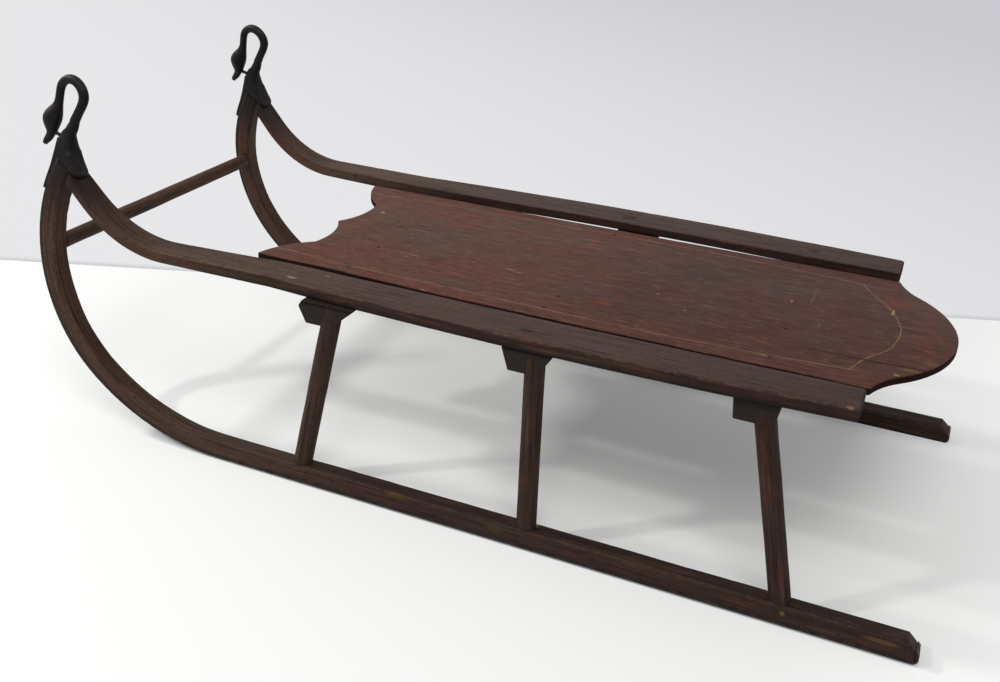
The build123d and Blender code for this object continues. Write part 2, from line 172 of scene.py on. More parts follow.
# How far a leg's top stays below the bar's, and how deep leg and rung stand in the runner
LEG_BELOW_BAR_TOP = 0.8
SEATED_IN_RUNNER = 1.5

# Rung
RUNG_RADIUS = 8.0

# The board's left edge, which falls back from the rail towards the front, and its rim
BOARD_HALF_WIDTH = 124.0
BOARD_FALL = 5.0
BOARD_FALL_LENGTH = 150.0
BOARD_STEP = 5.0
BOARD_LOW_EDGE = 0.8
BOARD_LOW_WEAR = 0.5
BOARD_EDGE_MOST = 2.6
BOARD_EDGE_STEPS = 5

# Finials: how finely the casting is remade, in millimetres, and how much it is smoothed
FINIAL_VOXEL = 0.8
FINIAL_SMOOTHING = 0.5
FINIAL_ROUNDS = 7
# The share of the rail's slope that a finial's leg covers, how far in from the leg's end its screw
# sits, and how far outside the leg the search for its surface starts
FINIAL_LEG_SHARE = 0.2
FINIAL_SCREW_IN = 9.0
SCREW_SEARCH = 60.0
# The fill between neck and body: its place from the runner's end and its half sizes
BREAST_PLACE = (1.0, 22.5)
BREAST_SIZES = (8.7, 7.3, 13.0)
# Zones smoothed further: furthest point ahead, lowest and highest point and rounds of smoothing
SMOOTHED = {"throat": (7.0, 17.0, 37.0, 24), "nape": (-2.0, 12.0, 44.0, 60)}

# Nail heads seen on the board and the rails: lengthwise and crosswise places, from the sled's middle
BOARD_NAILS = [
    (130.8, 46.0),
    (130.8, 106.0),
    (-77.4, 103.4),
    (-80.9, 73.4),
    (-77.4, -107.0),
    (-291.3, 42.0),
    (-289.5, 105.7),
    (-276.6, -113.5),
]
RAIL_NAILS = [
    (-82.7, 165.7),
    (-88.4, 164.7),
    (-73.4, -153.2),
    (-82.7, -160.5),
    (144.7, -142.0),
    (-285.0, -156.1),
]
# The nail in a crossbar's end, with its height
BAR_NAIL = (-104.3, 182.0, 192.5)
NAIL_HEIGHT = 0.5
# A screw head's radius, height and slot
SCREW = (3.2, 0.9, 0.8)
# A head's profile, as shares of its radius and its height
HEAD_PROFILE = ((1.0, -0.6), (1.0, 0.3), (0.8, 0.75), (0.45, 1.0))
HEAD_SIDES = 8

# Stage, in metres: the wall's line on the floor, and its fade away from the light
WALL_WAY = (-0.3586, 1.0, 0.0)
WALL_LINE = -0.3843
WALL_FADE = (0.204, 0.308, 0.0)
FLOOR_SIZE = 5.0
# How much paler the eye sees the floor than the lamps leave it, under the sled and past its rear end
FLOOR_LIFT = (0.11, 0.36)
FLOOR_LIFT_PLACE = (-0.35, -0.75)
# Light of the room, as it falls on the sled and as it is seen
ROOM_LIGHT = 0.44
ROOM_SEEN = 0.85
# Lamps by name: place, size and energy in watts, all aimed at the seat
LAMPS = {
    "window_light": ((1.45, 1.2, 1.8), 0.14, 12.5),
    "door_light": ((2.4, 0.2, 1.9), 0.3, 30.0),
    "ceiling_light": ((-0.65, 1.5, 2.4), 1.4, 25.5),
}
LAMP_AIM = (0.0, 0.0, 0.15)

# Camera, at the photograph's viewing angle
CAMERA_PLACE = (-401.30, 980.76, 634.24)
CAMERA_AZIMUTH = radians(202.679)
CAMERA_ELEVATION = radians(26.668)
CAMERA_ROLL = radians(2.286)
CAMERA_LENS = 39.599
CAMERA_SENSOR = 36.0


def linear(hex_colour):
    """A colour written as sRGB hex, as the linear values that shaders take."""
    values = [int(hex_colour[i : i + 2], 16) / 255 for i in (1, 3, 5)]
    return [v / 12.92 if v <= 0.04045 else ((v + 0.055) / 1.055) ** 2.4 for v in values]


def colour(name, description, hex_colour):
    """A colour that a user may change."""
    return bpy.props.FloatVectorProperty(
        name=name,
        description=description,
        default=linear(hex_colour),
        size=3,
        min=0.0,
        max=1.0,
        subtype="COLOR",
    )


def length(name, description, millimetres):
    """A length that a user may change, with its default in millimetres."""
    return bpy.props.FloatProperty(
        name=name,
        description=description,
        default=millimetres * MM,
        min=0.0,
        unit="LENGTH",
        precision=4,
    )


class SledSizes(bpy.types.PropertyGroup):
    """Small sizes of wear and trim."""

    runner_edge: length("Runner edge", "Rounding of the runners' upper edges", 3.5)
    rail_edge: length("Rail edge", "Rounding of the rails' edges", 2.5)
    bar_edge: length("Crossbar edge", "Rounding of the crossbars' edges", 1.6)
    board_edge: length("Board edge", "Rounding of the board's upper edge", 1.5)
    nail_radius: length("Nail head", "Radius of a nail head", 1.9)
    stripe_width: length("Stripe", "Width of a painted stripe", 1.3)


class SledColours(bpy.types.PropertyGroup):
    """Colours of the wood, the paint and the iron."""

    wood_dark: colour("Dark wood", "Grain of the frame in its dark streaks", "#1D120E")
    wood_mid: colour("Wood", "The frame's old finish", "#372520")
    # Partly painted light: upper faces are lighter as if lit from above, besides being rubbed
    wood_rubbed_and_lit_top: colour("Rubbed and lit wood", "The frame's finish where it faces up", "#4C3933")
    wood_worn: colour("Worn wood", "Edges rubbed through the finish", "#6E553E")
    paint_red: colour("Red paint", "The board's paint where it is clean", "#5F392F")
    paint_brown: colour("Brown paint", "The board's paint where it is rubbed", "#53372C")
    paint_grime: colour("Grime", "Dark use marks on the board", "#2E201B")
    stripe: colour("Stripe", "Painted stripes", "#876A4F")
    iron: colour("Iron", "Blackened casting", "#100D0D")
    # Partly painted highlight: lighter high spots and upward faces of the casting
    iron_rubbed_and_lit: colour("Rubbed and lit iron", "High spots of the casting", "#3A2F2D")


# Geometry helpers


def place(x, y, z):
    """A point in metres, in the sled's own frame."""
    return Vector((x - LENGTHWISE_MIDDLE, y, z)) * MM


def leaning(x, height, off=0.0):
    """A point of the left runner's leaning plane, as x, y and z in millimetres."""
    return Vector(
        (
            x,
            RUNNER_HALF_SPREAD + off * cos(RUNNER_LEAN) - height * sin(RUNNER_LEAN),
            RUNNER_LIFT + off * sin(RUNNER_LEAN) + height * cos(RUNNER_LEAN),
        )
    )


def wavy(at, seed):
    """Smooth noise from -1 to 1 along a piece."""
    return noise.noise(Vector((at, seed * 7.31, seed * 3.17)))


def worn_radius(base, at, seed):
    """An edge's rounding at a place along it: uneven, with a dent here and there."""
    dent = max(0.0, wavy(at / DENT_LENGTH, seed + 0.5) - DENT_START)
    return base * (1.0 + WAVE_SHARE * wavy(at / WAVE_LENGTH, seed) + DENT_SHARE * dent)


def spread(start, end, step):
    """Evenly spaced values from start to end, about a step apart."""
    count = max(1, round(abs(end - start) / step))
    return [start + (end - start) * i / count for i in range(count + 1)]


def rounded(corners, arc=4, side=3):
    """A closed outline with rounded corners, each corner (across, up, radius); points carry wear."""
    spots = []
    for i, corner in enumerate(corners):
        point = Vector(corner[:2])
        to_last = (Vector(corners[i - 1][:2]) - point).normalized()
        to_next = (Vector(corners[(i + 1) % len(corners)][:2]) - point).normalized()
        reach = corner[2] / tan(to_last.angle(to_next) / 2)
        spots.append((point + to_last * reach, point, point + to_next * reach))
    outline = []
    for i, (start, point, end) in enumerate(spots):
        for k in range(arc + 1):
            t = k / arc
            spot = start * (1 - t) ** 2 + point * (2 * t * (1 - t)) + end * t**2
            outline.append((spot.x, spot.y, 1.0 - abs(2 * t - 1) * (1.0 - WEAR_LEAST)))
        following = spots[(i + 1) % len(spots)][0]
        for k in range(1, side):
            spot = end.lerp(following, k / side)
            outline.append((spot.x, spot.y, 0.0))
    return outline


def round_outline(radius, at, seed, count=24):
    """A shaved round section: its sides just show, and it is never quite true."""
    outline = []
    for k in range(count):
        angle = 2 * pi * k / count
        ridge = cos(SHAVED_SIDES * angle)
        around = Vector((at / HOLLOW_LENGTH, 2 * cos(angle) + seed, 2 * sin(angle)))
        hollow = HOLLOW_DEPTH * noise.noise(around)
        reach = radius * (1.0 + SHAVED_RIDGE * ridge) + hollow
        outline.append((reach * cos(angle), reach * sin(angle), max(0.0, ridge) * RIDGE_WEAR))
    return outline


class Ring:
    """One cross-section of a stick: where it stands, its two directions and its outline."""

    def __init__(self, along, origin, across, up, outline, forward=None, shear=0.0):
        self.along = along
        self.origin = origin
        self.across = across
        self.up = up
        self.outline = outline
        self.forward = forward or Vector((0, 0, 0))
        self.shear = shear

    def points(self, inset):
        """Each point with its grain place and its wear, the outline drawn in by an inset."""
        middle = Vector((0, 0))
        for u, v, _ in self.outline:
            middle += Vector((u, v)) / len(self.outline)
        for u, v, wear in self.outline:
            if inset:
                out = Vector((u, v)) - middle
                out *= 1.0 - inset / max(out.length, inset)
                u, v = middle + out
            spot = self.origin + self.across * u + self.up * v + self.forward * (self.shear * v)
            yield spot, (self.along, u, v), wear


def finish_mesh(piece_name, bm, sharp=40.0):
    """A shown object from a bmesh, smooth except over sharp edges."""
    bmesh.ops.recalc_face_normals(bm, faces=bm.faces)
    mesh = bpy.data.meshes.new(piece_name)
    bm.to_mesh(mesh)
    bm.free()
    mesh.shade_smooth()
    mesh.set_sharp_from_angle(angle=radians(sharp))
    piece = bpy.data.objects.new(piece_name, mesh)
    bpy.context.scene.collection.objects.link(piece)
    return piece


def stick(piece_name, rings, end_inset=1.0, ends=None):
    """A closed mesh through the rings; points keep their grain place and their wear."""
    bm = bmesh.new()
    grain = bm.verts.layers.float_vector.new("grain")
    wear = bm.verts.layers.float.new("wear")
    loops = []
    for i, ring in enumerate(rings):
        at_end = i in (0, len(rings) - 1)
        loop = []
        for spot, grain_place, worn in ring.points(end_inset if at_end else 0.0):
            if ends and at_end:
                spot = ends[0 if i == 0 else 1](spot)
            vert = bm.verts.new(place(*spot))
            vert[grain] = Vector(grain_place) * MM
            vert[wear] = worn if not at_end else -1.0
            loop.append(vert)
        loops.append(loop)
    for low, high in zip(loops, loops[1:]):
        for k in range(len(low)):
            after = (k + 1) % len(low)
            bm.faces.new((low[k], low[after], high[after], high[k]))
    bm.faces.new(loops[0])
    bm.faces.new(loops[-1])
    return finish_mesh(piece_name, bm)


def dress(piece, material, slot, *nodes):
    """Puts a piece on the sled: its material and the solids that it stands for. The slot is not used.
    """
    piece.data.materials.clear()
    piece.data.materials.append(material)
    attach(piece, "root")
    if nodes:
        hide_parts(*nodes)
    return piece


def flipped(rings, side):
    """Rings of a left piece, mirrored for the right one."""
    if side > 0:
        return rings
    for ring in rings:
        for vector in (ring.origin, ring.across, ring.up, ring.forward):
            vector.y = -vector.y
    return rings


# Materials


def add(tree, kind, values=None, output=0, **settings):
    """Adds a node with its settings and gives one of its outputs; values are constants or other
    nodes' outputs, by input."""
    node = tree.nodes.new("ShaderNode" + kind)
    for key, value in settings.items():
        setattr(node, key, value)
    for key, value in (values or {}).items():
        if isinstance(value, bpy.types.NodeSocket):
            tree.links.new(value, node.inputs[key])
        else:
            node.inputs[key].default_value = value
    return node.outputs[output] if node.outputs else None


def new_tree(material_name):
    """A material with an empty node tree, and that tree."""
    material = bpy.data.materials.get(material_name)
    if material:
        bpy.data.materials.remove(material)
    material = bpy.data.materials.new(material_name)
    material.use_nodes = True
    material.node_tree.nodes.clear()
    return material, material.node_tree


def opaque(values):
    """A colour with its full alpha."""
    return (*values, 1.0)


def streaks(tree, grain, along, across, detail=4.0, shift=0.0):
    """Noise drawn out along the grain: a streak's length and width in millimetres."""
    scale = (1 / (along * MM), 1 / (across * MM), 1 / (across * MM))
    values = {0: grain, 1: scale, 2: (shift, shift, shift)}
    stretched = add(tree, "VectorMath", values, operation="MULTIPLY_ADD")
    values = {"Vector": stretched, "Scale": 1.0, "Detail": detail, "Roughness": 0.6}
    return add(tree, "TexNoise", values)


def layered(tree, tone, coats):
    """Lays coats over a tone in turn: each has its tint, as hex or a colour of the palette, its
    pattern, the pattern's values where it starts and where it is full, and its share there."""
    for tint, pattern, start, full, share in coats:
        values = {0: pattern, 1: start, 2: full, 3: 0.0, 4: share}
        amount = add(tree, "MapRange", values, interpolation_type="SMOOTHSTEP")
        tint = linear(tint) if isinstance(tint, str) else tint
        tone = add(tree, "Mix", {0: amount, 6: tone, 7: opaque(tint)}, 2, data_type="RGBA")
    return tone


def distance_from(tree, spot, middle, half_length, half_width):
    """How far a place is from a mark's middle: 1 on the rim of its oval."""
    halves = (half_length, half_width, half_width)
    scale = [1 / (half * MM) for half in halves]
    shift = [-at / half for at, half in zip(middle, halves)]
    away = add(tree, "VectorMath", {0: spot, 1: scale, 2: shift}, operation="MULTIPLY_ADD")
    return add(tree, "VectorMath", {0: away}, "Value", operation="LENGTH")


def ragged_place(tree, spot, reach):
    """A place moved about by up to a reach in millimetres, so that a mark's rim is uneven."""
    wobble = add(tree, "TexNoise", {"Vector": spot, "Scale": 1 / (18 * MM), "Detail": 3.0}, "Color")
    step = add(tree, "VectorMath", {0: wobble, 1: (0.5, 0.5, 0.5)}, operation="SUBTRACT")
    values = {0: step, 1: (2 * reach * MM, 2 * reach * MM, 0.0), 2: spot}
    return add(tree, "VectorMath", values, operation="MULTIPLY_ADD")


# Chips, rubbed places and nail stains on the frame: middle, half length, half width, colour
FRAME_MARKS = [
    ((159.5, 164.6, 207.0), 5.0, 1.8, "#8C8270"),
    ((101.4, 182.0, 206.0), 4.0, 2.0, "#8A7250"),
    ((130.7, 145.9, 207.0), 3.0, 1.2, "#7E6A58"),
    ((126.0, 180.5, 205.5), 13.0, 1.5, "#6B5242"),
    ((82.0, 182.5, 205.5), 12.0, 1.4, "#66503F"),
    ((-366.2, 173.5, 206.5), 3.2, 1.8, "#80644A"),
    ((27.1, 203.0, 19.0), 11.0, 3.0, "#54391F"),
    ((-78.2, 204.0, 15.0), 9.0, 4.0, "#3E3520"),
    ((-346.9, 204.0, 14.0), 2.2, 2.2, "#6B5138"),
    ((-428.0, 203.0, 15.0), 14.0, 2.0, "#5A432C"),
    ((-114.5, 187.0, 20.5), 1.4, 4.0, "#878560"),
    ((-85.5, 165.2, 207.0), 7.0, 3.2, "#1A1110"),
    ((-78.0, -157.0, 207.0), 9.0, 5.0, "#1C1311"),
    ((144.7, -142.0, 207.0), 6.0, 3.0, "#1C1311"),
    ((-284.5, -155.0, 207.0), 8.0, 5.0, "#1C1311"),
]


def aged_hardwood(palette):
    """Bent ash or hickory under an old dark finish, in use for a century: the eye gets long dark
    streaks, a dull sheen that breaks up where the finish has gone, and paler rubbed edges, with
    upper faces lighter, partly from wear and partly as painted light, and the sides under the seat
    darker with painted shade. The streaks are drawn some millimetres wide, coarser than the real
    fibre, so that they show."""
    material, tree = new_tree("aged_dark_hardwood")
    place_on_sled = add(tree, "TexCoord", output="Object")
    forward = add(tree, "SeparateXYZ", {0: place_on_sled})
    height = forward.node.outputs[2]
    place_on_piece = add(tree, "Attribute", output="Vector", attribute_name="grain")
    step = add(tree, "ObjectInfo", output="Random")
    step = add(tree, "VectorMath", {0: (3.1, 1.7, 2.3), 3: step}, operation="SCALE")
    grain = add(tree, "VectorMath", {0: place_on_piece, 1: step})
    fibre = streaks(tree, grain, 75.0, 2.6, detail=5.0)
    band = streaks(tree, grain, 190.0, 9.0, detail=3.0, shift=11.0)
    patch = streaks(tree, grain, 45.0, 15.0, detail=5.0, shift=23.0)
    pore = streaks(tree, grain, 12.0, 1.1, detail=2.0, shift=37.0)
    speck = streaks(tree, grain, 5.0, 3.0, detail=4.0, shift=51.0)
    edge = add(tree, "Attribute", output="Fac", attribute_name="wear")
    normal = add(tree, "NewGeometry", output="Normal")
    upward = add(tree, "SeparateXYZ", {0: normal}, 2)
    rubbed = add(tree, "MapRange", {0: patch, 1: 0.3, 2: 0.65, 3: 0.5, 4: 1.0})
    rubbed_and_lit = add(tree, "MapRange", {0: height, 1: 0.1, 2: 0.18, 4: rubbed})
    trodden = add(tree, "MapRange", {0: height, 1: 0.1, 2: 0.04, 4: 0.55})
    bared = add(tree, "MapRange", {0: height, 1: 0.05, 2: 0.18, 3: 0.3, 4: 0.6})
    sunned_and_lit = add(tree, "MapRange", {0: height, 1: 0.185, 2: 0.197, 3: 0.3, 4: 0.5})
    sunned_and_lit = add(tree, "MapRange", {0: height, 1: 0.2, 2: 0.25, 3: sunned_and_lit, 4: 0.0})
    under_seat = add(tree, "MapRange", {0: forward, 1: 0.2, 2: 0.32, 3: 0.42, 4: 0.0})
    shaded = add(tree, "MapRange", {0: height, 1: 0.12, 2: 0.19, 4: under_seat})
    # Painted shade: a dark band where the crossbars and legs meet the rails, under the seat
    seam_shade = add(tree, "MapRange", {0: forward, 1: 0.2, 2: 0.3, 3: 0.8, 4: 0.0})
    seam_shade = add(tree, "MapRange", {0: height, 1: 0.1965, 2: 0.2005, 3: seam_shade, 4: 0.0})
    scraped = add(tree, "MapRange", {0: speck, 1: 0.5, 2: 0.72, 4: bared})
    coats = [
        # Upper faces, rubbed by hands and lighter with painted light above, dark with wet below
        (palette.wood_rubbed_and_lit_top, upward, 0.35, 0.9, rubbed_and_lit),
        (palette.wood_dark, upward, 0.5, 0.95, trodden),
        # The front, bleached, lighter with painted light and redder on the sweep; painted shade on the
        # sides under the seat and at the rear
        ("#5A4734", forward, 0.02, 0.24, sunned_and_lit),
        ("#4C2F25", forward, 0.25, 0.36, 0.35),
        (palette.wood_dark, upward, 0.5, 0.1, shaded),
        (palette.wood_dark, forward, -0.1, -0.42, 0.3),
        # The grain, from broad bands to pores
        ("#403022", band, 0.45, 0.7, 0.4),
        ("#4C2A22", patch, 0.5, 0.34, 0.45),
        (palette.wood_dark, fibre, 0.5, 0.34, 0.75),
        ("#65503F", fibre, 0.55, 0.75, 0.4),
        (palette.wood_dark, speck, 0.47, 0.3, 0.55),
        ("#120B08", pore, 0.58, 0.72, 0.65),
        # Worn edges, end grain, painted shade in the seam under the rails and dark wood by the castings
        (palette.wood_worn, edge, 0.35, 1.0, scraped),
        ("#2C2625", edge, -0.1, -0.9, 0.9),
        ("#140D0B", height, 0.19, 0.194, seam_shade),
        ("#140E0D", height, 0.22, 0.275, 0.88),
    ]
    rough_place = ragged_place(tree, place_on_sled, 1.2)
    for middle, half_length, half_width, hex_colour in FRAME_MARKS:
        mark = distance_from(tree, rough_place, middle, half_length, half_width)
        coats.append((hex_colour, mark, 1.4, 0.6, 0.75))
    tone = layered(tree, opaque(palette.wood_mid), coats)
    gloss = add(tree, "MapRange", {0: patch, 1: 0.3, 2: 0.7, 3: 0.46, 4: 0.68})
    gloss = add(tree, "MapRange", {0: edge, 1: -0.9, 2: -0.1, 3: 1.0, 4: gloss})
    relief = add(tree, "Math", {0: pore, 1: -0.7, 2: fibre}, operation="MULTIPLY_ADD")
    relief = add(tree, "Math", {0: patch, 1: 0.9, 2: relief}, operation="MULTIPLY_ADD")
    bump = add(tree, "Bump", {"Strength": 0.6, "Distance": 0.5 * MM, "Height": relief})
    values = {
        "Base Color": tone,
        "Roughness": gloss,
        "IOR": 1.47,
        "Specular IOR Level": 0.14,
        "Normal": bump,
    }
    add(tree, "OutputMaterial", {"Surface": add(tree, "BsdfPrincipled", values)})
    return material


def frame_wood(context):
    """The wood of the frame, made once and shared by its pieces."""
    made = bpy.data.materials.get("aged_dark_hardwood")
    return made or aged_hardwood(context.scene.sled_colours)


# Tone of the board in soft patches: x, y, half length, half width, colour, strength
BOARD_PATCHES = [
    (-290.0, 0.0, 230.0, 190.0, "#452924", 0.8),
    (120.0, 0.0, 130.0, 50.0, "#4F382E", 0.4),
    (90.0, -15.0, 45.0, 22.0, "#453630", 0.35),
    (-190.0, -40.0, 60.0, 24.0, "#3A2B25", 0.45),
    (-230.0, -60.0, 70.0, 30.0, "#3F2F24", 0.45),
    (-240.0, -25.0, 25.0, 22.0, "#532A27", 0.45),
    (-150.0, 70.0, 60.0, 22.0, "#3F2C28", 0.4),
    (60.0, 70.0, 110.0, 26.0, "#5D362E", 0.35),
    (-20.0, -70.0, 130.0, 20.0, "#5C3C32", 0.35),
    (-66.7, -75.8, 8.0, 12.0, "#6B312B", 0.65),
    (-121.3, 64.3, 7.0, 13.0, "#69302A", 0.6),
    (-376.5, -65.3, 14.0, 17.0, "#65301F", 0.75),
    (-413.0, -5.0, 9.0, 62.0, "#5C3024", 0.7),
]

# Small marks on the board: x, y, half length, half width, colour
BOARD_MARKS = [
    (177.2, -46.3, 3.0, 1.4, "#B89A78"),
    (193.2, 121.0, 8.0, 2.2, "#7E4A30"),
    (87.0, 49.0, 6.0, 0.8, "#8C735E"),
    (-15.0, 36.5, 6.0, 0.8, "#8E7360"),
    (-25.0, 39.5, 4.0, 0.8, "#8A6F5C"),
    (-164.9, 22.5, 1.6, 1.2, "#8F745C"),
    (-197.7, 47.8, 1.5, 1.7, "#7E6248"),
    (-285.4, -22.7, 1.4, 4.0, "#84693E"),
    (-303.0, -43.0, 0.7, 25.0, "#604A38"),
    (-377.5, -41.5, 1.5, 7.0, "#9A7B52"),
    (77.5, 122.5, 5.0, 1.0, "#8E6A5C"),
    (63.0, 122.5, 6.0, 1.0, "#926E60"),
    (39.4, 122.0, 3.5, 1.0, "#86655A"),
    (100.5, 123.0, 4.0, 0.8, "#80604F"),
    (-318.0, 21.2, 1.2, 4.5, "#674A3F"),
    (-393.4, 90.2, 2.4, 1.6, "#9A7B55"),
    (-404.0, 76.0, 9.0, 2.4, "#67502F"),
    (-419.0, 55.0, 7.0, 5.0, "#5E4029"),
    (-284.0, 104.5, 3.0, 1.1, "#87693A"),
    (-216.4, -117.0, 2.0, 1.5, "#1B1411"),
    (20.0, -30.0, 14.0, 0.7, "#72564A"),
    (-60.0, 5.0, 12.0, 0.7, "#74584B"),
    (-140.0, -50.0, 10.0, 0.7, "#72564A"),
    (45.0, 12.0, 11.0, 0.7, "#6E5448"),
    (150.0, 20.0, 9.0, 0.7, "#72564A"),
]

# The painted line: along the sides, as x and distance from the middle; its rear curve, as y and x
STRIPE_SIDES = [
    (-358.0, 98.0),
    (-294.0, 103.0),
    (-241.0, 106.0),
    (-170.0, 108.5),
    (-95.0, 108.0),
    (-15.0, 106.0),
    (70.0, 104.5),
    (160.0, 103.0),
    (232.0, 97.0),
]
STRIPE_REAR = [
    (-108.0, -342.0),
    (-95.0, -345.0),
    (-73.0, -358.0),
    (-52.0, -372.0),
    (-25.0, -383.5),
    (0.0, -388.5),
    (25.0, -386.5),
    (43.0, -382.0),
    (60.0, -371.5),
    (80.0, -361.5),
    (100.0, -355.5),
    (108.0, -354.0),
]
BOARD_CRACK = [(-420.0, 70.0), (-366.0, 72.7), (-322.0, 73.4), (-300.0, 73.0)]
BOARD_CRACK_END = -308.0
BOARD_CRACK_FADE = 8.0
BOARD_TOP = 202.5
CURVE_SPAN = 1000.0


def past_curve(tree, value, along, points):
    """How far a value lies past a smooth curve through a short table, in millimetres."""
    span = CURVE_SPAN * MM
    share = add(tree, "Math", {0: along, 1: 1 / span, 2: 0.5}, operation="MULTIPLY_ADD")
    curve_height = add(tree, "FloatCurve", {"Value": share})
    mapping = curve_height.node.mapping
    curve = mapping.curves[0]
    ends = [(-CURVE_SPAN / 2, points[0][1])] + points + [(CURVE_SPAN / 2, points[-1][1])]
    while len(curve.points) < len(ends):
        curve.points.new(0.5, 0.5)
    for point, (x, y) in zip(curve.points, ends):
        point.location = (x / CURVE_SPAN + 0.5, y / CURVE_SPAN + 0.5)
        point.handle_type = "AUTO_CLAMPED"
    mapping.update()
    value_share = add(tree, "Math", {0: value, 1: 1 / span, 2: 0.5}, operation="MULTIPLY_ADD")
    past = add(tree, "Math", {0: value_share, 1: curve_height}, operation="SUBTRACT")
    return add(tree, "Math", {0: past, 1: CURVE_SPAN}, operation="MULTIPLY")


def old_red_paint(palette, sizes):
    """Thin barn-red paint on a pine board, rubbed by sitting: the eye gets brown red with the
    grain's streaks in it, redder where it is clean, nearly black where hands and boots rubbed it,
    thin ochre lines, a few bare chips and scratches along the grain; underneath, bare brown pine.
    The streaks are drawn coarser than pine's own, so that they show."""
    material, tree = new_tree("worn_barn_red_paint")
    grain = add(tree, "Attribute", output="Vector", attribute_name="grain")
    cloud = streaks(tree, grain, 60.0, 22.0, detail=6.0)
    fleck = streaks(tree, grain, 11.0, 4.5, detail=4.0, shift=57.0)
    fibre = streaks(tree, grain, 42.0, 2.3, detail=5.0, shift=9.0)
    ragged = streaks(tree, grain, 14.0, 7.0, detail=5.0, shift=17.0)
    scratch = streaks(tree, grain, 34.0, 1.1, detail=1.0, shift=31.0)
    pore = streaks(tree, grain, 8.0, 1.2, detail=2.0, shift=43.0)
    along = add(tree, "SeparateXYZ", {0: grain})
    across = along.node.outputs[1]
    aside = add(tree, "Math", {0: across}, operation="ABSOLUTE")
    past_side = past_curve(tree, aside, along, STRIPE_SIDES)
    past_rear = past_curve(tree, along, across, STRIPE_REAR)
    coats = [(palette.paint_red, cloud, 0.38, 0.62, 1.0)]
    soft_place = ragged_place(tree, grain, 20.0)
    for x, y, half_length, half_width, hex_colour, strength in BOARD_PATCHES:
        patch = distance_from(tree, soft_place, (x, y, BOARD_TOP), half_length, half_width)
        coats.append((hex_colour, patch, 1.6, 0.3, strength))
    coats += [
        # A redder border outside the line
        ("#5A2E2A", past_side, 0.0, 2.0, 0.25),
        # The grain, use marks, scratches and pores
        (palette.paint_grime, fibre, 0.5, 0.32, 0.75),
        ("#82604F", fibre, 0.53, 0.74, 0.5),
        (palette.paint_grime, ragged, 0.53, 0.74, 0.55),
        (palette.paint_grime, fleck, 0.48, 0.3, 0.5),
        ("#7C5646", fleck, 0.55, 0.72, 0.35),
        ("#7C5A4C", scratch, 0.66, 0.78, 0.45),
        ("#211613", pore, 0.62, 0.76, 0.5),
    ]
    half = sizes.stripe_width / 2 / MM
    faded = add(tree, "MapRange", {0: ragged, 1: 0.34, 2: 0.6, 3: 0.85, 4: 0.35})
    side_part = add(tree, "MapRange", {0: past_rear, 1: -9.0, 2: 1.0, 4: faded})
    rear_part = add(tree, "MapRange", {0: past_side, 1: 1.5, 2: 0.0, 4: faded})
    past_crack = past_curve(tree, across, along, BOARD_CRACK)
    crack_end = [(BOARD_CRACK_END - fade) * MM for fade in (0.0, BOARD_CRACK_FADE)]
    opened = add(tree, "MapRange", {0: along, 1: crack_end[0], 2: crack_end[1], 4: 0.85})
    lines = [
        (palette.stripe, past_side, half * 1.4, half * 0.6, side_part),
        ("#8C6E48", past_rear, half * 1.4, half * 0.6, rear_part),
        ("#160E0C", past_crack, 1.5, 0.6, opened),
    ]
    for tint, past, outer, inner, share in lines:
        away = add(tree, "Math", {0: past}, operation="ABSOLUTE")
        coats.append((tint, away, outer, inner, share))
    rough_place = ragged_place(tree, grain, 1.6)
    for x, y, half_length, half_width, hex_colour in BOARD_MARKS:
        mark = distance_from(tree, rough_place, (x, y, BOARD_TOP), half_length, half_width)
        coats.append((hex_colour, mark, 1.3, 0.7, 0.75))
    normal = add(tree, "NewGeometry", output="Normal")
    upward = add(tree, "SeparateXYZ", {0: normal}, 2)
    # Painted shade: the board's upright sides nearly black, as in the shade between rail and board
    coats.append(("#160C0A", upward, 0.75, 0.3, 0.92))
    painted = layered(tree, opaque(palette.paint_brown), coats)
    bare_coats = [("#241812", fibre, 0.52, 0.34, 0.8), ("#33251D", cloud, 0.45, 0.65, 0.6)]
    bare = layered(tree, opaque(linear("#4B3527")), bare_coats)
    below = add(tree, "MapRange", {0: upward, 1: -0.5, 2: -0.9})
    tone = add(tree, "Mix", {0: below, 6: painted, 7: bare}, 2, data_type="RGBA")
    edge = add(tree, "Attribute", output="Fac", attribute_name="wear")
    scraped = add(tree, "MapRange", {0: ragged, 1: 0.5, 2: 0.68, 3: 0.0, 4: 0.6})
    tone = layered(tree, tone, [("#6B4C34", edge, 0.35, 1.0, scraped)])
    gloss = add(tree, "MapRange", {0: cloud, 1: 0.3, 2: 0.7, 3: 0.44, 4: 0.62})
    gloss = add(tree, "MapRange", {0: upward, 1: 0.3, 2: 0.75, 3: 1.0, 4: gloss})
    relief = add(tree, "Math", {0: ragged, 1: 0.8, 2: fibre}, operation="MULTIPLY_ADD")
    relief = add(tree, "Math", {0: pore, 1: -0.6, 2: relief}, operation="MULTIPLY_ADD")
    bump = add(tree, "Bump", {"Strength": 0.55, "Distance": 0.4 * MM, "Height": relief})
    values = {
        "Base Color": tone,
        "Roughness": gloss,
        "IOR": 1.48,
        "Specular IOR Level": 0.1,
        "Normal": bump,
    }
    add(tree, "OutputMaterial", {"Surface": add(tree, "BsdfPrincipled", values)})
    return material


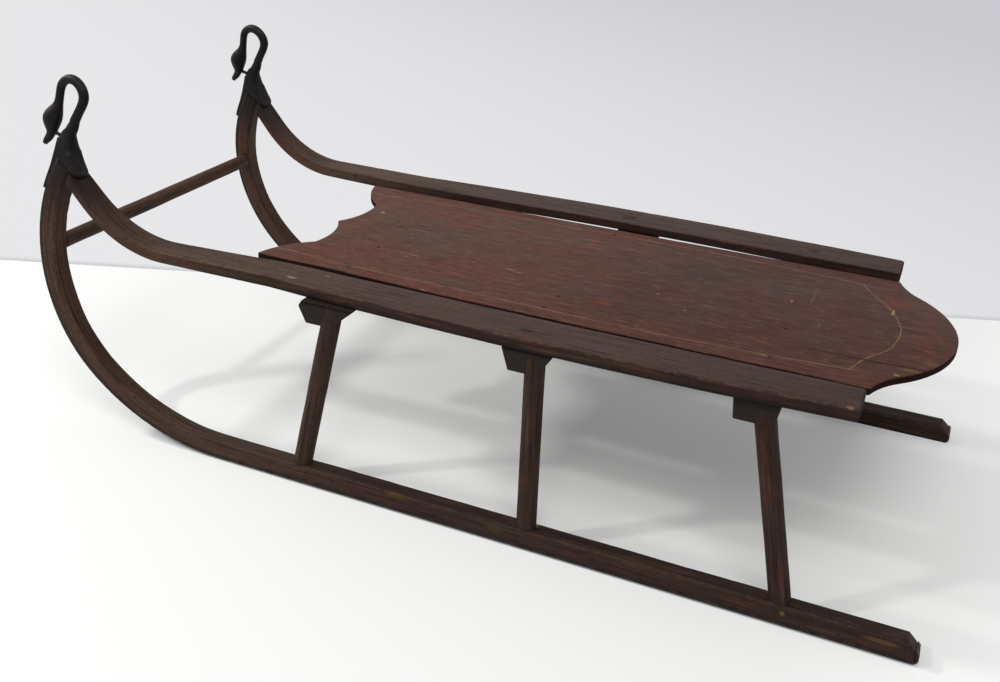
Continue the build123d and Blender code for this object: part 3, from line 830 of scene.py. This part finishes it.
def blackened_iron(material_name, palette, grit, rubbed):
    """Grey iron, cast in sand or rolled to strip, and blackened: the eye gets a nearly black, dull
    skin with a fine sandy grain, brown bloom and a soft grey shine on the high spots. The grain is
    drawn at about a millimetre, coarser than moulding sand, so that it shows."""
    material, tree = new_tree(material_name)
    spot = add(tree, "TexCoord", output="Object")
    sand = add(tree, "TexNoise", {"Vector": spot, "Scale": 1 / (grit * MM), "Detail": 4.0})
    bloom = add(tree, "TexNoise", {"Vector": spot, "Scale": 1 / (9 * MM), "Detail": 5.0})
    sharpness = add(tree, "NewGeometry", output="Pointiness")
    upward = add(tree, "SeparateXYZ", {0: sharpness.node.outputs["Normal"]}, 2)
    rubbed_and_lit = add(tree, "MapRange", {0: bloom, 1: 0.35, 2: 0.65, 3: 0.2, 4: rubbed})
    coats = [
        ("#2A201B", bloom, 0.5, 0.75, 0.5),
        ("#0E0C0C", sand, 0.48, 0.3, 0.5),
        # Painted highlight, as a grey shine: the high spots, also rubbed, and the upward faces lighter
        (palette.iron_rubbed_and_lit, sharpness, 0.51, 0.56, rubbed_and_lit),
        (palette.iron_rubbed_and_lit, upward, 0.15, 0.85, rubbed_and_lit),
    ]
    tone = layered(tree, opaque(palette.iron), coats)
    gloss = add(tree, "MapRange", {0: bloom, 1: 0.3, 2: 0.7, 3: 0.4, 4: 0.62})
    bump = add(tree, "Bump", {"Strength": 0.45, "Distance": 0.3 * MM, "Height": sand})
    values = {
        "Base Color": tone,
        "Metallic": 0.15,
        "Roughness": gloss,
        "Specular IOR Level": 0.17,
        "Normal": bump,
    }
    add(tree, "OutputMaterial", {"Surface": add(tree, "BsdfPrincipled", values)})
    return material


# Operators, one for each kind of piece


class SLED_OT_stage(bpy.types.Operator):
    """Floor, soft light and the camera"""

    bl_idname = "sled.stage"
    bl_label = "Stage"

    def execute(self, context):
        scene = context.scene
        scene.view_settings.view_transform = "Standard"
        self.floor(scene)
        self.lamps(scene)
        self.world(scene)
        self.camera(scene)
        return {"FINISHED"}

    def floor(self, scene):
        """A large pale sheet, white in front; behind a line it is a wall's even grey to the eye."""
        bm = bmesh.new()
        bmesh.ops.create_grid(bm, x_segments=1, y_segments=1, size=FLOOR_SIZE)
        floor = finish_mesh("floor", bm)
        material, tree = new_tree("matt_white_sheet")
        spot = add(tree, "TexCoord", output="Object")
        towards_front, towards_light = (
            add(tree, "VectorMath", {0: spot, 1: way}, "Value", operation="DOT_PRODUCT")
            for way in (WALL_WAY, WALL_FADE)
        )
        behind = add(tree, "Math", {0: towards_front, 1: WALL_LINE}, operation="LESS_THAN")
        coats = [
            ("#E8E8EA", towards_light, -1.0, 0.11, 1.0),
            # Painted shadow: a darker band along the wall's foot
            ("#C2C2C7", towards_front, WALL_LINE - 0.02, WALL_LINE, 0.7),
        ]
        wall = layered(tree, opaque(linear("#CBCAD0")), coats)
        seen = add(tree, "LightPath", output="Is Camera Ray")
        seen_wall = add(tree, "Math", {0: seen, 1: behind}, operation="MULTIPLY")
        lengthwise = add(tree, "SeparateXYZ", {0: spot})
        values = dict(enumerate((lengthwise, *FLOOR_LIFT_PLACE, *FLOOR_LIFT)))
        pale = add(tree, "MapRange", values)
        lift = add(tree, "Math", {0: seen, 1: pale}, operation="MULTIPLY")
        values = {
            "Base Color": opaque(linear("#EDEDEB")),
            "Roughness": 0.9,
            "Specular IOR Level": 0.1,
            "Emission Color": (1.0, 1.0, 1.0, 1.0),
            "Emission Strength": lift,
        }
        sheet = add(tree, "BsdfPrincipled", values)
        glow = add(tree, "Emission", {"Color": wall})
        surface = add(tree, "MixShader", {0: seen_wall, 1: sheet, 2: glow})
        add(tree, "OutputMaterial", {"Surface": surface})
        floor.data.materials.append(material)

    def lamps(self, scene):
        """Two small lamps in front and a large soft one overhead."""
        for lamp_name, (spot, size, energy) in LAMPS.items():
            data = bpy.data.lights.new(lamp_name, "AREA")
            data.size = size
            data.energy = energy
            lamp = bpy.data.objects.new(lamp_name, data)
            lamp.location = spot
            aim = Vector(LAMP_AIM) - Vector(spot)
            lamp.rotation_euler = aim.to_track_quat("-Z", "Y").to_euler()
            scene.collection.objects.link(lamp)

    def world(self, scene):
        """A pale room, dimmer as light on the sled than it looks."""
        world = bpy.data.worlds.new("pale_room")
        scene.world = world
        world.use_nodes = True
        tree = world.node_tree
        tree.nodes.clear()
        rays = add(tree, "LightPath").node.outputs
        values = {0: rays["Is Camera Ray"], 1: rays["Is Glossy Ray"]}
        seen = add(tree, "Math", values, operation="MAXIMUM")
        seen = add(tree, "Math", {0: seen, 1: rays["Is Transmission Ray"]}, operation="MAXIMUM")
        strength = add(tree, "MapRange", {0: seen, 3: ROOM_LIGHT, 4: ROOM_SEEN})
        back = add(tree, "Background", {"Color": opaque(linear("#F4F5F6")), "Strength": strength})
        add(tree, "OutputWorld", {"Surface": back})

    def camera(self, scene):
        """A camera turned by its azimuth, elevation and roll."""
        back = Vector(
            (
                sin(CAMERA_AZIMUTH) * cos(CAMERA_ELEVATION),
                -cos(CAMERA_AZIMUTH) * cos(CAMERA_ELEVATION),
                sin(CAMERA_ELEVATION),
            )
        )
        level = Vector((cos(CAMERA_AZIMUTH), sin(CAMERA_AZIMUTH), 0.0))
        up = back.cross(level)
        right = level * cos(CAMERA_ROLL) + up * sin(CAMERA_ROLL)
        up = up * cos(CAMERA_ROLL) - level * sin(CAMERA_ROLL)
        data = bpy.data.cameras.new("camera")
        data.sensor_fit = "HORIZONTAL"
        data.sensor_width = CAMERA_SENSOR
        data.lens = CAMERA_LENS
        camera = bpy.data.objects.new("camera", data)
        turn = Matrix((right, up, back)).transposed().to_4x4()
        camera.matrix_world = Matrix.Translation(Vector(CAMERA_PLACE) * MM) @ turn
        scene.collection.objects.link(camera)
        scene.camera = camera


class SLED_OT_runners(bpy.types.Operator):
    """The two bent runners"""

    bl_idname = "sled.runners"
    bl_label = "Runners"

    def execute(self, context):
        material = frame_wood(context)
        edge = context.scene.sled_sizes.runner_edge / MM
        for word, side in SIDES.items():
            rings = flipped(self.rings(edge, side), side)
            dress(stick("bent_runner_" + word, rings), material, "dark_wood", "runner_" + word)
        return {"FINISHED"}

    def rings(self, edge, seed):
        end = RUNNER_STRAIGHT + SWEEP_LENGTH + NOSE_LENGTH
        stations = [0.0] + spread(END_BEVEL, RUNNER_TAIL_SLOPE, RUNNER_TAIL_STEP)
        stations += spread(RUNNER_TAIL_SLOPE, RUNNER_STRAIGHT, STRAIGHT_STEP)[1:]
        stations += spread(RUNNER_STRAIGHT, end, BEND_STEP)[1:]
        rings = []
        for at in stations:
            turn = 0.0
            foot = Vector((at, 0.0))
            if at > RUNNER_STRAIGHT + SWEEP_LENGTH:
                turn = SWEEP_TURN + (at - RUNNER_STRAIGHT - SWEEP_LENGTH) / NOSE_RADIUS
                foot = turned(NOSE_CENTER, NOSE_RADIUS, turn)
            elif at > RUNNER_STRAIGHT:
                turn = (at - RUNNER_STRAIGHT) / SWEEP_RADIUS
                foot = turned(SWEEP_CENTER, SWEEP_RADIUS, turn)
            origin = leaning(foot.x, foot.y)
            up = leaning(foot.x - sin(turn), foot.y + cos(turn)) - origin
            across = leaning(foot.x, foot.y, 1.0) - origin
            slope = min(1.0, at / RUNNER_TAIL_SLOPE)
            top = RUNNER_TAIL_TOP + (RUNNER_TOP - RUNNER_TAIL_TOP) * slope
            top += RUNNER_UNEVEN * wavy(at / RUNNER_TOP_WAVE, seed + 9)
            half = RUNNER_HALF_WIDTH + RUNNER_UNEVEN * wavy(at / RUNNER_WIDTH_WAVE, seed + 4)
            inner_edge, outer_edge = RUNNER_LOW_EDGE
            corners = [
                (-half, RUNNER_UNDER, inner_edge),
                (half, RUNNER_UNDER, worn_radius(outer_edge, at, seed + 1)),
                (half, top, min(RUNNER_EDGE_MOST, worn_radius(edge, at, seed + 2))),
                (-half, top, min(RUNNER_EDGE_MOST, worn_radius(edge, at, seed + 3))),
            ]
            rings.append(Ring(at, origin, across, up, rounded(corners, arc=5)))
        return rings


class SLED_OT_shoes(bpy.types.Operator):
    """The iron strips under the runners"""

    bl_idname = "sled.shoes"
    bl_label = "Shoes"

    def execute(self, context):
        material = blackened_iron("rubbed_iron_strip", context.scene.sled_colours, 0.9, 0.8)
        for word in SIDES:
            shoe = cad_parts["shoe_" + word]
            shoe.data.materials.clear()
            shoe.data.materials.append(material)
        return {"FINISHED"}


# Where the rail's underside meets the runner, and the sweep that leads up to it
MEET = turned(NOSE_CENTER, NOSE_RADIUS - RUNNER_TOP, RAIL_MEET_TURN)
MEET_PLACE = leaning(MEET.x, MEET.y)
RAIL_CLIMB = MEET_PLACE.z - (RAIL_TOP - RAIL_THICKNESS)
RAIL_UNDER_RADIUS = RAIL_CLIMB * RAIL_SWEEP_SHARE / (1 - cos(RAIL_RISE))
RAIL_SWEEP_RADIUS = RAIL_UNDER_RADIUS - RAIL_THICKNESS
RAIL_RUN = RAIL_CLIMB * (1 - RAIL_SWEEP_SHARE) / sin(RAIL_RISE)
RAIL_BEND = MEET.x - RAIL_UNDER_RADIUS * sin(RAIL_RISE) - RAIL_RUN * cos(RAIL_RISE)
RAIL_BEND_CENTER = (RAIL_BEND, RAIL_TOP + RAIL_SWEEP_RADIUS)


def along_rail(radius, run):
    """A point on the rail's sloping end, a run beyond the bend."""
    return turned(RAIL_BEND_CENTER, radius, RAIL_RISE) + Vector((cos(RAIL_RISE), sin(RAIL_RISE))) * run


RAIL_TIP = along_rail(RAIL_UNDER_RADIUS, RAIL_RUN + RAIL_PAST_MEET).x


def run_to_runner(radius):
    """How far the sloping end runs on at a radius before it meets the runner."""
    run = 0.0
    while run < RAIL_RUN_MOST:
        x, z = along_rail(radius, run)
        height = (z - RUNNER_LIFT) / cos(RUNNER_LEAN)
        if (Vector((x, height)) - Vector(NOSE_CENTER)).length > NOSE_RADIUS - RUNNER_TOP:
            return run
        run += RAIL_RUN_STEP
    raise RuntimeError("the rail misses the runner")


def rail_inner(x):
    """The rail's inner edge: straight to the neck, then slanting to its tip."""
    if x <= RAIL_NECK:
        return RAIL_INNER
    share = (x - RAIL_NECK) / (RAIL_TIP - RAIL_NECK)
    return RAIL_INNER + (MEET_PLACE.y - RAIL_TIP_HALF_WIDTH - RAIL_INNER) * share


def rail_grip(x):
    """How far hands have worn the rail's inner edge at a place: its depth, width and height."""
    share = max(RAIL_GRIP_LEAST, 1.0 - ((x - RAIL_GRIP_MIDDLE) / RAIL_GRIP_REACH) ** 2)
    return [size * share for size in RAIL_GRIP]


def rail_outer(x):
    """The rail's outer edge: bowed through three places to the neck, then straight to its tip."""
    if x > RAIL_NECK:
        share = (x - RAIL_NECK) / (RAIL_TIP - RAIL_NECK)
        return RAIL_NECK_OUTER + (MEET_PLACE.y + RAIL_TIP_HALF_WIDTH - RAIL_NECK_OUTER) * share
    rear = (x - RAIL_MIDDLE) * (x - RAIL_NECK) / ((RAIL_REAR - RAIL_MIDDLE) * (RAIL_REAR - RAIL_NECK))
    middle = (x - RAIL_REAR) * (x - RAIL_NECK) / ((RAIL_MIDDLE - RAIL_REAR) * (RAIL_MIDDLE - RAIL_NECK))
    neck = (x - RAIL_REAR) * (x - RAIL_MIDDLE) / ((RAIL_NECK - RAIL_REAR) * (RAIL_NECK - RAIL_MIDDLE))
    return RAIL_REAR_OUTER * rear + RAIL_MIDDLE_OUTER * middle + RAIL_NECK_OUTER * neck


class SLED_OT_rails(bpy.types.Operator):
    """The two side rails"""

    bl_idname = "sled.rails"
    bl_label = "Rails"

    def execute(self, context):
        material = frame_wood(context)
        edge = context.scene.sled_sizes.rail_edge / MM
        for word, side in SIDES.items():
            rings = flipped(self.rings(edge, SEEDS["rail"] + side), side)
            rail = stick("bowed_rail_" + word, rings, RAIL_END_INSET)
            dress(rail, material, "dark_wood", "rail_" + word)
        return {"FINISHED"}

    def rings(self, edge, seed):
        over_run = run_to_runner(RAIL_SWEEP_RADIUS)
        under_run = run_to_runner(RAIL_UNDER_RADIUS)
        bend_length = RAIL_SWEEP_RADIUS * RAIL_RISE
        bend_end = RAIL_BEND + bend_length
        stations = [RAIL_REAR] + spread(RAIL_REAR + RAIL_END_BEVEL, RAIL_BEND, STRAIGHT_STEP)
        stations += spread(RAIL_BEND, bend_end, BEND_STEP)[1:]
        stations += spread(bend_end, bend_end + over_run, BEND_STEP)[1:]
        rings = []
        for at in stations:
            turn = min(RAIL_RISE, max(0.0, (at - RAIL_BEND) / RAIL_SWEEP_RADIUS))
            run = max(0.0, at - bend_end)
            shear = (run - run / over_run * under_run) / RAIL_THICKNESS
            top = along_rail(RAIL_SWEEP_RADIUS, run)
            if at <= RAIL_BEND:
                top = Vector((at, RAIL_TOP))
            elif run == 0.0:
                top = turned(RAIL_BEND_CENTER, RAIL_SWEEP_RADIUS, turn)
            forward = Vector((cos(turn), 0.0, sin(turn)))
            low_x = top.x + sin(turn) * RAIL_THICKNESS - shear * RAIL_THICKNESS * cos(turn)
            sway = RAIL_UNEVEN * wavy(at / RAIL_WAVE, seed + 7)
            radius = []
            for k, (most, share) in enumerate(RAIL_EDGES):
                radius.append(min(most, worn_radius(edge, at, seed + k) * share))
            depth, width, rise = rail_grip(top.x)
            corners = [
                (rail_inner(low_x) + sway + depth + width, -RAIL_THICKNESS, radius[0]),
                (rail_outer(low_x) + sway, -RAIL_THICKNESS, radius[1]),
                (rail_outer(top.x) + sway, 0.0, radius[2]),
                (rail_inner(top.x) + sway + depth, 0.0, radius[3]),
                (rail_inner(low_x) + sway + depth, rise - RAIL_THICKNESS, RAIL_GRIP_EDGE),
            ]
            origin = Vector((top.x, 0.0, top.y))
            up = Vector((-sin(turn), 0.0, cos(turn)))
            outline = rounded(corners, arc=5, side=4)
            rings.append(Ring(at, origin, Vector((0, 1, 0)), up, outline, forward, shear))
        return rings


class SLED_OT_crossbars(bpy.types.Operator):
    """The three crossbars under the rails and the board"""

    bl_idname = "sled.crossbars"
    bl_label = "Crossbars"

    def execute(self, context):
        material = frame_wood(context)
        edge = context.scene.sled_sizes.bar_edge / MM
        for seed, (word, sizes) in enumerate(CROSSBARS.items()):
            rings = self.rings(edge, SEEDS["crossbar"] + seed, *sizes)
            dress(stick(f"crossbar_{word}_hewn", rings), material, "dark_wood", "crossbar_" + word)
        return {"FINISHED"}

    def rings(self, edge, seed, middle, top_length, bottom_length, shift, chamfer, half_span):
        low = CROSSBAR_TOP - CROSSBAR_HEIGHT
        rings = []
        body_end = half_span - END_BEVEL
        for at in [-half_span] + spread(-body_end, body_end, STRAIGHT_STEP) + [half_span]:
            front_top = middle + top_length / 2
            front_low = middle + shift + bottom_length / 2
            down = Vector((front_low - front_top, -CROSSBAR_HEIGHT)).normalized() * chamfer
            radius = []
            for k in range(5):
                worn = worn_radius(edge, at, seed + k * CROSSBAR_SEED_STEP)
                radius.append(min(CROSSBAR_EDGE_MOST, worn))
            small = min(radius[3], chamfer * CHAMFER_EDGE_SHARE)
            corners = [
                (middle + shift - bottom_length / 2, low, radius[0]),
                (front_low, low, radius[1]),
                (front_top + down.x, CROSSBAR_TOP + down.y, small),
                (front_top - chamfer, CROSSBAR_TOP, small),
                (middle - top_length / 2, CROSSBAR_TOP, radius[4] * CROSSBAR_REAR_SHARE),
            ]
            outline = rounded(corners, arc=4, side=2)
            rings.append(Ring(at, Vector((0, at, 0)), Vector((1, 0, 0)), Vector((0, 0, 1)), outline))
        return rings


class SLED_OT_legs(bpy.types.Operator):
    """The six splayed legs"""

    bl_idname = "sled.legs"
    bl_label = "Legs"

    def execute(self, context):
        material = frame_wood(context)
        for number, (word, (top_x, foot_x)) in enumerate(LEGS.items()):
            top = Vector((top_x, CROSSBARS[word][-1] - LEG_INSET, CROSSBAR_TOP - CROSSBAR_HEIGHT))
            foot = leaning(foot_x, RUNNER_TOP)
            for side_word, side in SIDES.items():
                node = f"leg_{word}_{side_word}"
                leg = self.leg("shaved_" + node, top, foot, side, SEEDS["leg"] + number * 2 + side)
                dress(leg, material, "dark_wood", node)
        return {"FINISHED"}

    def leg(self, piece_name, top, foot, side, seed):
        """A leg from the top of its bar into the runner, its ends cut along both."""
        down = (foot - top).normalized()
        start = top - down * ((CROSSBAR_TOP - top.z) / -down.z)
        across = down.cross(Vector((1, 0, 0))).normalized()
        up = across.cross(down).normalized()
        reach = (foot - start).length
        rings = []
        for at in [0.0] + spread(LEG_STEP, reach - LEG_STEP, LEG_STEP) + [reach]:
            outline = round_outline(LEG_RADIUS, at, seed)
            rings.append(Ring(at, start + down * at, across.copy(), up.copy(), outline))
        flipped(rings, side)
        way = Vector((down.x, down.y * side, down.z))
        runner_up = Vector((0.0, -sin(RUNNER_LEAN) * side, cos(RUNNER_LEAN)))
        foot_spot = Vector((foot.x, foot.y * side, foot.z)) - runner_up * SEATED_IN_RUNNER

        def to_bar_top(spot):
            return spot + way * ((CROSSBAR_TOP - LEG_BELOW_BAR_TOP - spot.z) / way.z)

        def to_runner(spot):
            return spot + way * ((foot_spot - spot).dot(runner_up) / way.dot(runner_up))

        return stick(piece_name, rings, end_inset=0.0, ends=(to_bar_top, to_runner))


class SLED_OT_rung(bpy.types.Operator):
    """The rung between the runners' noses"""

    bl_idname = "sled.rung"
    bl_label = "Rung"

    def execute(self, context):
        material = frame_wood(context)
        height = NOSE_CENTER[1]
        middle = turned(NOSE_CENTER, NOSE_RADIUS - (RUNNER_UNDER + RUNNER_TOP) / 2, pi / 2)
        inner = leaning(middle.x, height, -RUNNER_HALF_WIDTH).y + SEATED_IN_RUNNER
        level = leaning(middle.x, middle.y).z
        rings = []
        for at in spread(-inner, inner, STRAIGHT_STEP):
            outline = round_outline(RUNG_RADIUS, at, SEEDS["rung"])
            origin = Vector((middle.x, at, level))
            rings.append(Ring(at, origin, Vector((1, 0, 0)), Vector((0, 0, 1)), outline))
        dress(stick("shaved_rung", rings, end_inset=0.0), material, "dark_wood", "rung")
        return {"FINISHED"}


class SLED_OT_board(bpy.types.Operator):
    """The painted seat board"""

    bl_idname = "sled.board"
    bl_label = "Seat board"

    def execute(self, context):
        material = old_red_paint(context.scene.sled_colours, context.scene.sled_sizes)
        edge = context.scene.sled_sizes.board_edge / MM
        low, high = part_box("seat_board")
        board = self.board(self.outline(low.z), low.z / MM, high.z / MM, edge)
        dress(board, material, "painted_board", "seat_board")
        return {"FINISHED"}

    def outline(self, low):
        """The board's lower outline from its solid, in millimetres, with long edges divided."""
        bm = bmesh.new()
        bm.from_mesh(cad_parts["seat_board"].data)
        bmesh.ops.remove_doubles(bm, verts=bm.verts, dist=1e-6)
        under = {face for face in bm.faces if all(abs(v.co.z - low) < 1e-6 for v in face.verts)}
        rim = [edge for edge in bm.edges if len(under.intersection(edge.link_faces)) == 1]
        ways = {}
        for edge in rim:
            first, second = edge.verts
            ways.setdefault(first, []).append(second)
            ways.setdefault(second, []).append(first)
        start = rim[0].verts[0]
        loop = [start, ways[start][0]]
        while loop[-1] is not start:
            ahead = [v for v in ways[loop[-1]] if v is not loop[-2]]
            loop.append(ahead[0])
        points = [Vector((v.co.x, v.co.y)) / MM for v in loop]
        bm.free()
        divided = []
        for first, second in zip(points, points[1:]):
            count = max(1, round((second - first).length / BOARD_STEP))
            divided += [first.lerp(second, k / count) for k in range(count)]
        for point in divided:
            share = min(1.0, max(0.0, point.x / BOARD_FALL_LENGTH))
            point.y -= BOARD_FALL * share * max(0.0, point.y / BOARD_HALF_WIDTH)
        return divided

    def board(self, outline, low, high, edge):
        """The board over its outline, its low edge broken and its upper one worn round."""
        turn = sum(a.cross(b) for a, b in zip(outline, outline[1:] + outline[:1]))
        inward = []
        for k, point in enumerate(outline):
            way = (outline[(k + 1) % len(outline)] - outline[k - 1]).normalized()
            inward.append(Vector((-way.y, way.x)) if turn > 0 else Vector((way.y, -way.x)))
        bm = bmesh.new()
        grain = bm.verts.layers.float_vector.new("grain")
        wear = bm.verts.layers.float.new("wear")
        top_level = BOARD_EDGE_STEPS + 2
        loops = []
        for level in range(top_level + 1):
            loop = []
            for k, point in enumerate(outline):
                radius = min(BOARD_EDGE_MOST, worn_radius(edge, k * BOARD_STEP, SEEDS["board"]))
                if level == 0:
                    inset, z, worn = BOARD_LOW_EDGE, low, BOARD_LOW_WEAR
                elif level == 1:
                    inset, z, worn = 0.0, low + BOARD_LOW_EDGE, WEAR_LEAST
                else:
                    turn_up = pi / 2 * (level - 2) / BOARD_EDGE_STEPS
                    inset = radius * (1 - cos(turn_up))
                    z = high - radius * (1 - sin(turn_up))
                    worn = WEAR_LEAST + (1.0 - WEAR_LEAST) * sin(2 * turn_up)
                spot = point + inward[k] * inset
                vert = bm.verts.new(Vector((spot.x, spot.y, z)) * MM)
                vert[grain] = Vector((spot.x, spot.y, z)) * MM
                vert[wear] = worn if level < top_level else 0.0
                loop.append(vert)
            loops.append(loop)
        for lower, upper in zip(loops, loops[1:]):
            for k in range(len(lower)):
                after = (k + 1) % len(lower)
                bm.faces.new((lower[k], lower[after], upper[after], upper[k]))
        bm.faces.new(loops[0])
        bm.faces.new(loops[-1])
        return finish_mesh("painted_seat_board", bm, sharp=50.0)


class SLED_OT_finials(bpy.types.Operator):
    """The two cast swan finials, their joins softened as a casting's are"""

    bl_idname = "sled.finials"
    bl_label = "Finials"

    def execute(self, context):
        material = blackened_iron("blackened_cast_iron", context.scene.sled_colours, 0.7, 0.9)
        for word, side in SIDES.items():
            bm = bmesh.new()
            bm.from_mesh(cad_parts["finial_" + word].data)
            self.fill_breast(bm, side)
            rough_mesh = bpy.data.meshes.new("finial_rough")
            bm.to_mesh(rough_mesh)
            bm.free()
            rough = bpy.data.objects.new("finial_rough", rough_mesh)
            context.scene.collection.objects.link(rough)
            remesh = rough.modifiers.new("remesh", "REMESH")
            remesh.mode = "VOXEL"
            remesh.voxel_size = FINIAL_VOXEL * MM
            smooth = rough.modifiers.new("smooth", "SMOOTH")
            smooth.factor = FINIAL_SMOOTHING
            smooth.iterations = FINIAL_ROUNDS
            context.view_layer.update()
            shape = rough.evaluated_get(context.evaluated_depsgraph_get())
            mesh = bpy.data.meshes.new_from_object(shape)
            self.soften_neck(mesh)
            mesh.name = "swan_finial_" + word
            mesh.shade_smooth()
            finial = bpy.data.objects.new("swan_finial_" + word, mesh)
            context.scene.collection.objects.link(finial)
            bpy.data.objects.remove(rough)
            dress(finial, material, "cast_iron", "finial_" + word)
        return {"FINISHED"}

    def fill_breast(self, bm, side):
        """Fills the corner between the neck and the body, as a casting's pattern does."""
        spot = leaning(*(RUNNER_END + Vector(BREAST_PLACE)))
        spot.y *= side
        turn = Matrix.Rotation(RUNNER_LEAN * side, 4, "X")
        sizes = Matrix.Diagonal([size * MM for size in BREAST_SIZES]).to_4x4()
        shape = Matrix.Translation(place(*spot)) @ turn @ sizes
        bmesh.ops.create_icosphere(bm, subdivisions=4, radius=1.0, matrix=shape)

    def soften_neck(self, mesh):
        """Smooths the steps at the foot of the neck, in front and behind, away from the bill."""
        foot = place(*leaning(*RUNNER_END))
        bm = bmesh.new()
        bm.from_mesh(mesh)
        zones = []
        for furthest, lowest, highest, rounds in SMOOTHED.values():
            verts = []
            for vert in bm.verts:
                way = (vert.co - foot) / MM
                if way.x < furthest and lowest < way.z < highest:
                    verts.append(vert)
            zones.append((verts, rounds))
        axes = {"use_axis_x": True, "use_axis_y": True, "use_axis_z": True}
        for verts, rounds in zones:
            for _ in range(rounds):
                bmesh.ops.smooth_vert(bm, verts=verts, factor=FINIAL_SMOOTHING, **axes)
        bm.to_mesh(mesh)
        bm.free()


class SLED_OT_nails(bpy.types.Operator):
    """Nail heads on the board, the rails and a crossbar, and the screws of the finials"""

    bl_idname = "sled.nails"
    bl_label = "Nails and screws"

    def execute(self, context):
        material = blackened_iron("rusted_nail_iron", context.scene.sled_colours, 0.6, 0.4)
        radius = context.scene.sled_sizes.nail_radius / MM
        board_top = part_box("seat_board")[1].z / MM
        up = Vector((0, 0, 1))
        spots = [(f"board_nail_{n}", (x, y, board_top), up) for n, (x, y) in enumerate(BOARD_NAILS)]
        spots += [(f"rail_nail_{n}", (x, y, RAIL_TOP), up) for n, (x, y) in enumerate(RAIL_NAILS)]
        spots.append(("crossbar_nail", BAR_NAIL, Vector((0, 1, 0))))
        for nail_name, spot, way in spots:
            nail = self.head(nail_name, Vector(spot), way, radius, NAIL_HEIGHT, 0.0)
            dress(nail, material, "iron_strip")
        for word, side in SIDES.items():
            spot, way = self.on_finial_leg(word, side)
            screw = self.head("finial_screw_" + word, spot, way, *SCREW)
            dress(screw, material, "iron_strip")
        return {"FINISHED"}

    def on_finial_leg(self, word, side):
        """A point on the back of a finial's leg and the way that its surface faces."""
        run = RAIL_RUN * (1 - FINIAL_LEG_SHARE) + FINIAL_SCREW_IN
        aim = along_rail(RAIL_SWEEP_RADIUS, run)
        height = (aim.y - RUNNER_LIFT) / cos(RUNNER_LEAN)
        aim = leaning(aim.x - LENGTHWISE_MIDDLE, height)
        aim.y *= side
        back = Vector((-sin(RAIL_RISE), 0.0, cos(RAIL_RISE)))
        finial = bpy.data.objects["swan_finial_" + word]
        found, spot, way, _ = finial.ray_cast((aim + back * SCREW_SEARCH) * MM, -back)
        if not found:
            raise RuntimeError("the screw misses the finial")
        return spot / MM, way

    def head(self, piece_name, spot, way, radius, height, slot):
        """A low domed head in two halves, parted by a slot where it is a screw."""
        bm = bmesh.new()
        turn = way.to_track_quat("Z", "X").to_matrix()
        for half in (1, -1):
            rows = []
            for share, rise in HEAD_PROFILE:
                reach = radius * share
                row = []
                for k in range(HEAD_SIDES + 1):
                    angle = pi * k / HEAD_SIDES
                    flat = Vector((reach * cos(angle), reach * sin(angle), rise * height))
                    flat.y = max(flat.y, slot / 2) * half
                    row.append(bm.verts.new((spot + turn @ flat) * MM))
                rows.append(row)
            for low, high in zip(rows, rows[1:]):
                for k in range(HEAD_SIDES):
                    bm.faces.new((low[k], low[k + 1], high[k + 1], high[k]))
                bm.faces.new((low[0], high[0], high[-1], low[-1]))
            bm.faces.new(rows[0])
            bm.faces.new(rows[-1])
        if slot == 0.0:
            bmesh.ops.remove_doubles(bm, verts=bm.verts, dist=1e-6)
        return finish_mesh(piece_name, bm)


class SLED_PT_panel(bpy.types.Panel):
    """Lists the sled's pieces in the 3D view's sidebar"""

    bl_label = "Child sled"
    bl_idname = "SLED_PT_panel"
    bl_space_type = "VIEW_3D"
    bl_region_type = "UI"
    bl_category = "Sled"

    def draw(self, context):
        column = self.layout.column()
        for operator in OPERATORS:
            column.operator(operator.bl_idname)
        for group in (context.scene.sled_sizes, context.scene.sled_colours):
            box = self.layout.box()
            for key in group.bl_rna.properties.keys():
                if key not in ("rna_type", "name"):
                    box.prop(group, key)


OPERATORS = [
    SLED_OT_stage,
    SLED_OT_runners,
    SLED_OT_shoes,
    SLED_OT_rails,
    SLED_OT_crossbars,
    SLED_OT_legs,
    SLED_OT_rung,
    SLED_OT_board,
    SLED_OT_finials,
    SLED_OT_nails,
]


def register():
    for group in (SledSizes, SledColours, *OPERATORS, SLED_PT_panel):
        bpy.utils.register_class(group)
    bpy.types.Scene.sled_sizes = bpy.props.PointerProperty(type=SledSizes)
    bpy.types.Scene.sled_colours = bpy.props.PointerProperty(type=SledColours)


def unregister():
    del bpy.types.Scene.sled_sizes
    del bpy.types.Scene.sled_colours
    for group in reversed((SledSizes, SledColours, *OPERATORS, SLED_PT_panel)):
        bpy.utils.unregister_class(group)


def main():
    register()
    bpy.ops.sled.stage()
    bpy.ops.sled.runners()
    bpy.ops.sled.shoes()
    bpy.ops.sled.rails()
    bpy.ops.sled.crossbars()
    bpy.ops.sled.legs()
    bpy.ops.sled.rung()
    bpy.ops.sled.board()
    bpy.ops.sled.finials()
    bpy.ops.sled.nails()


if __name__ == "__main__":
    main()
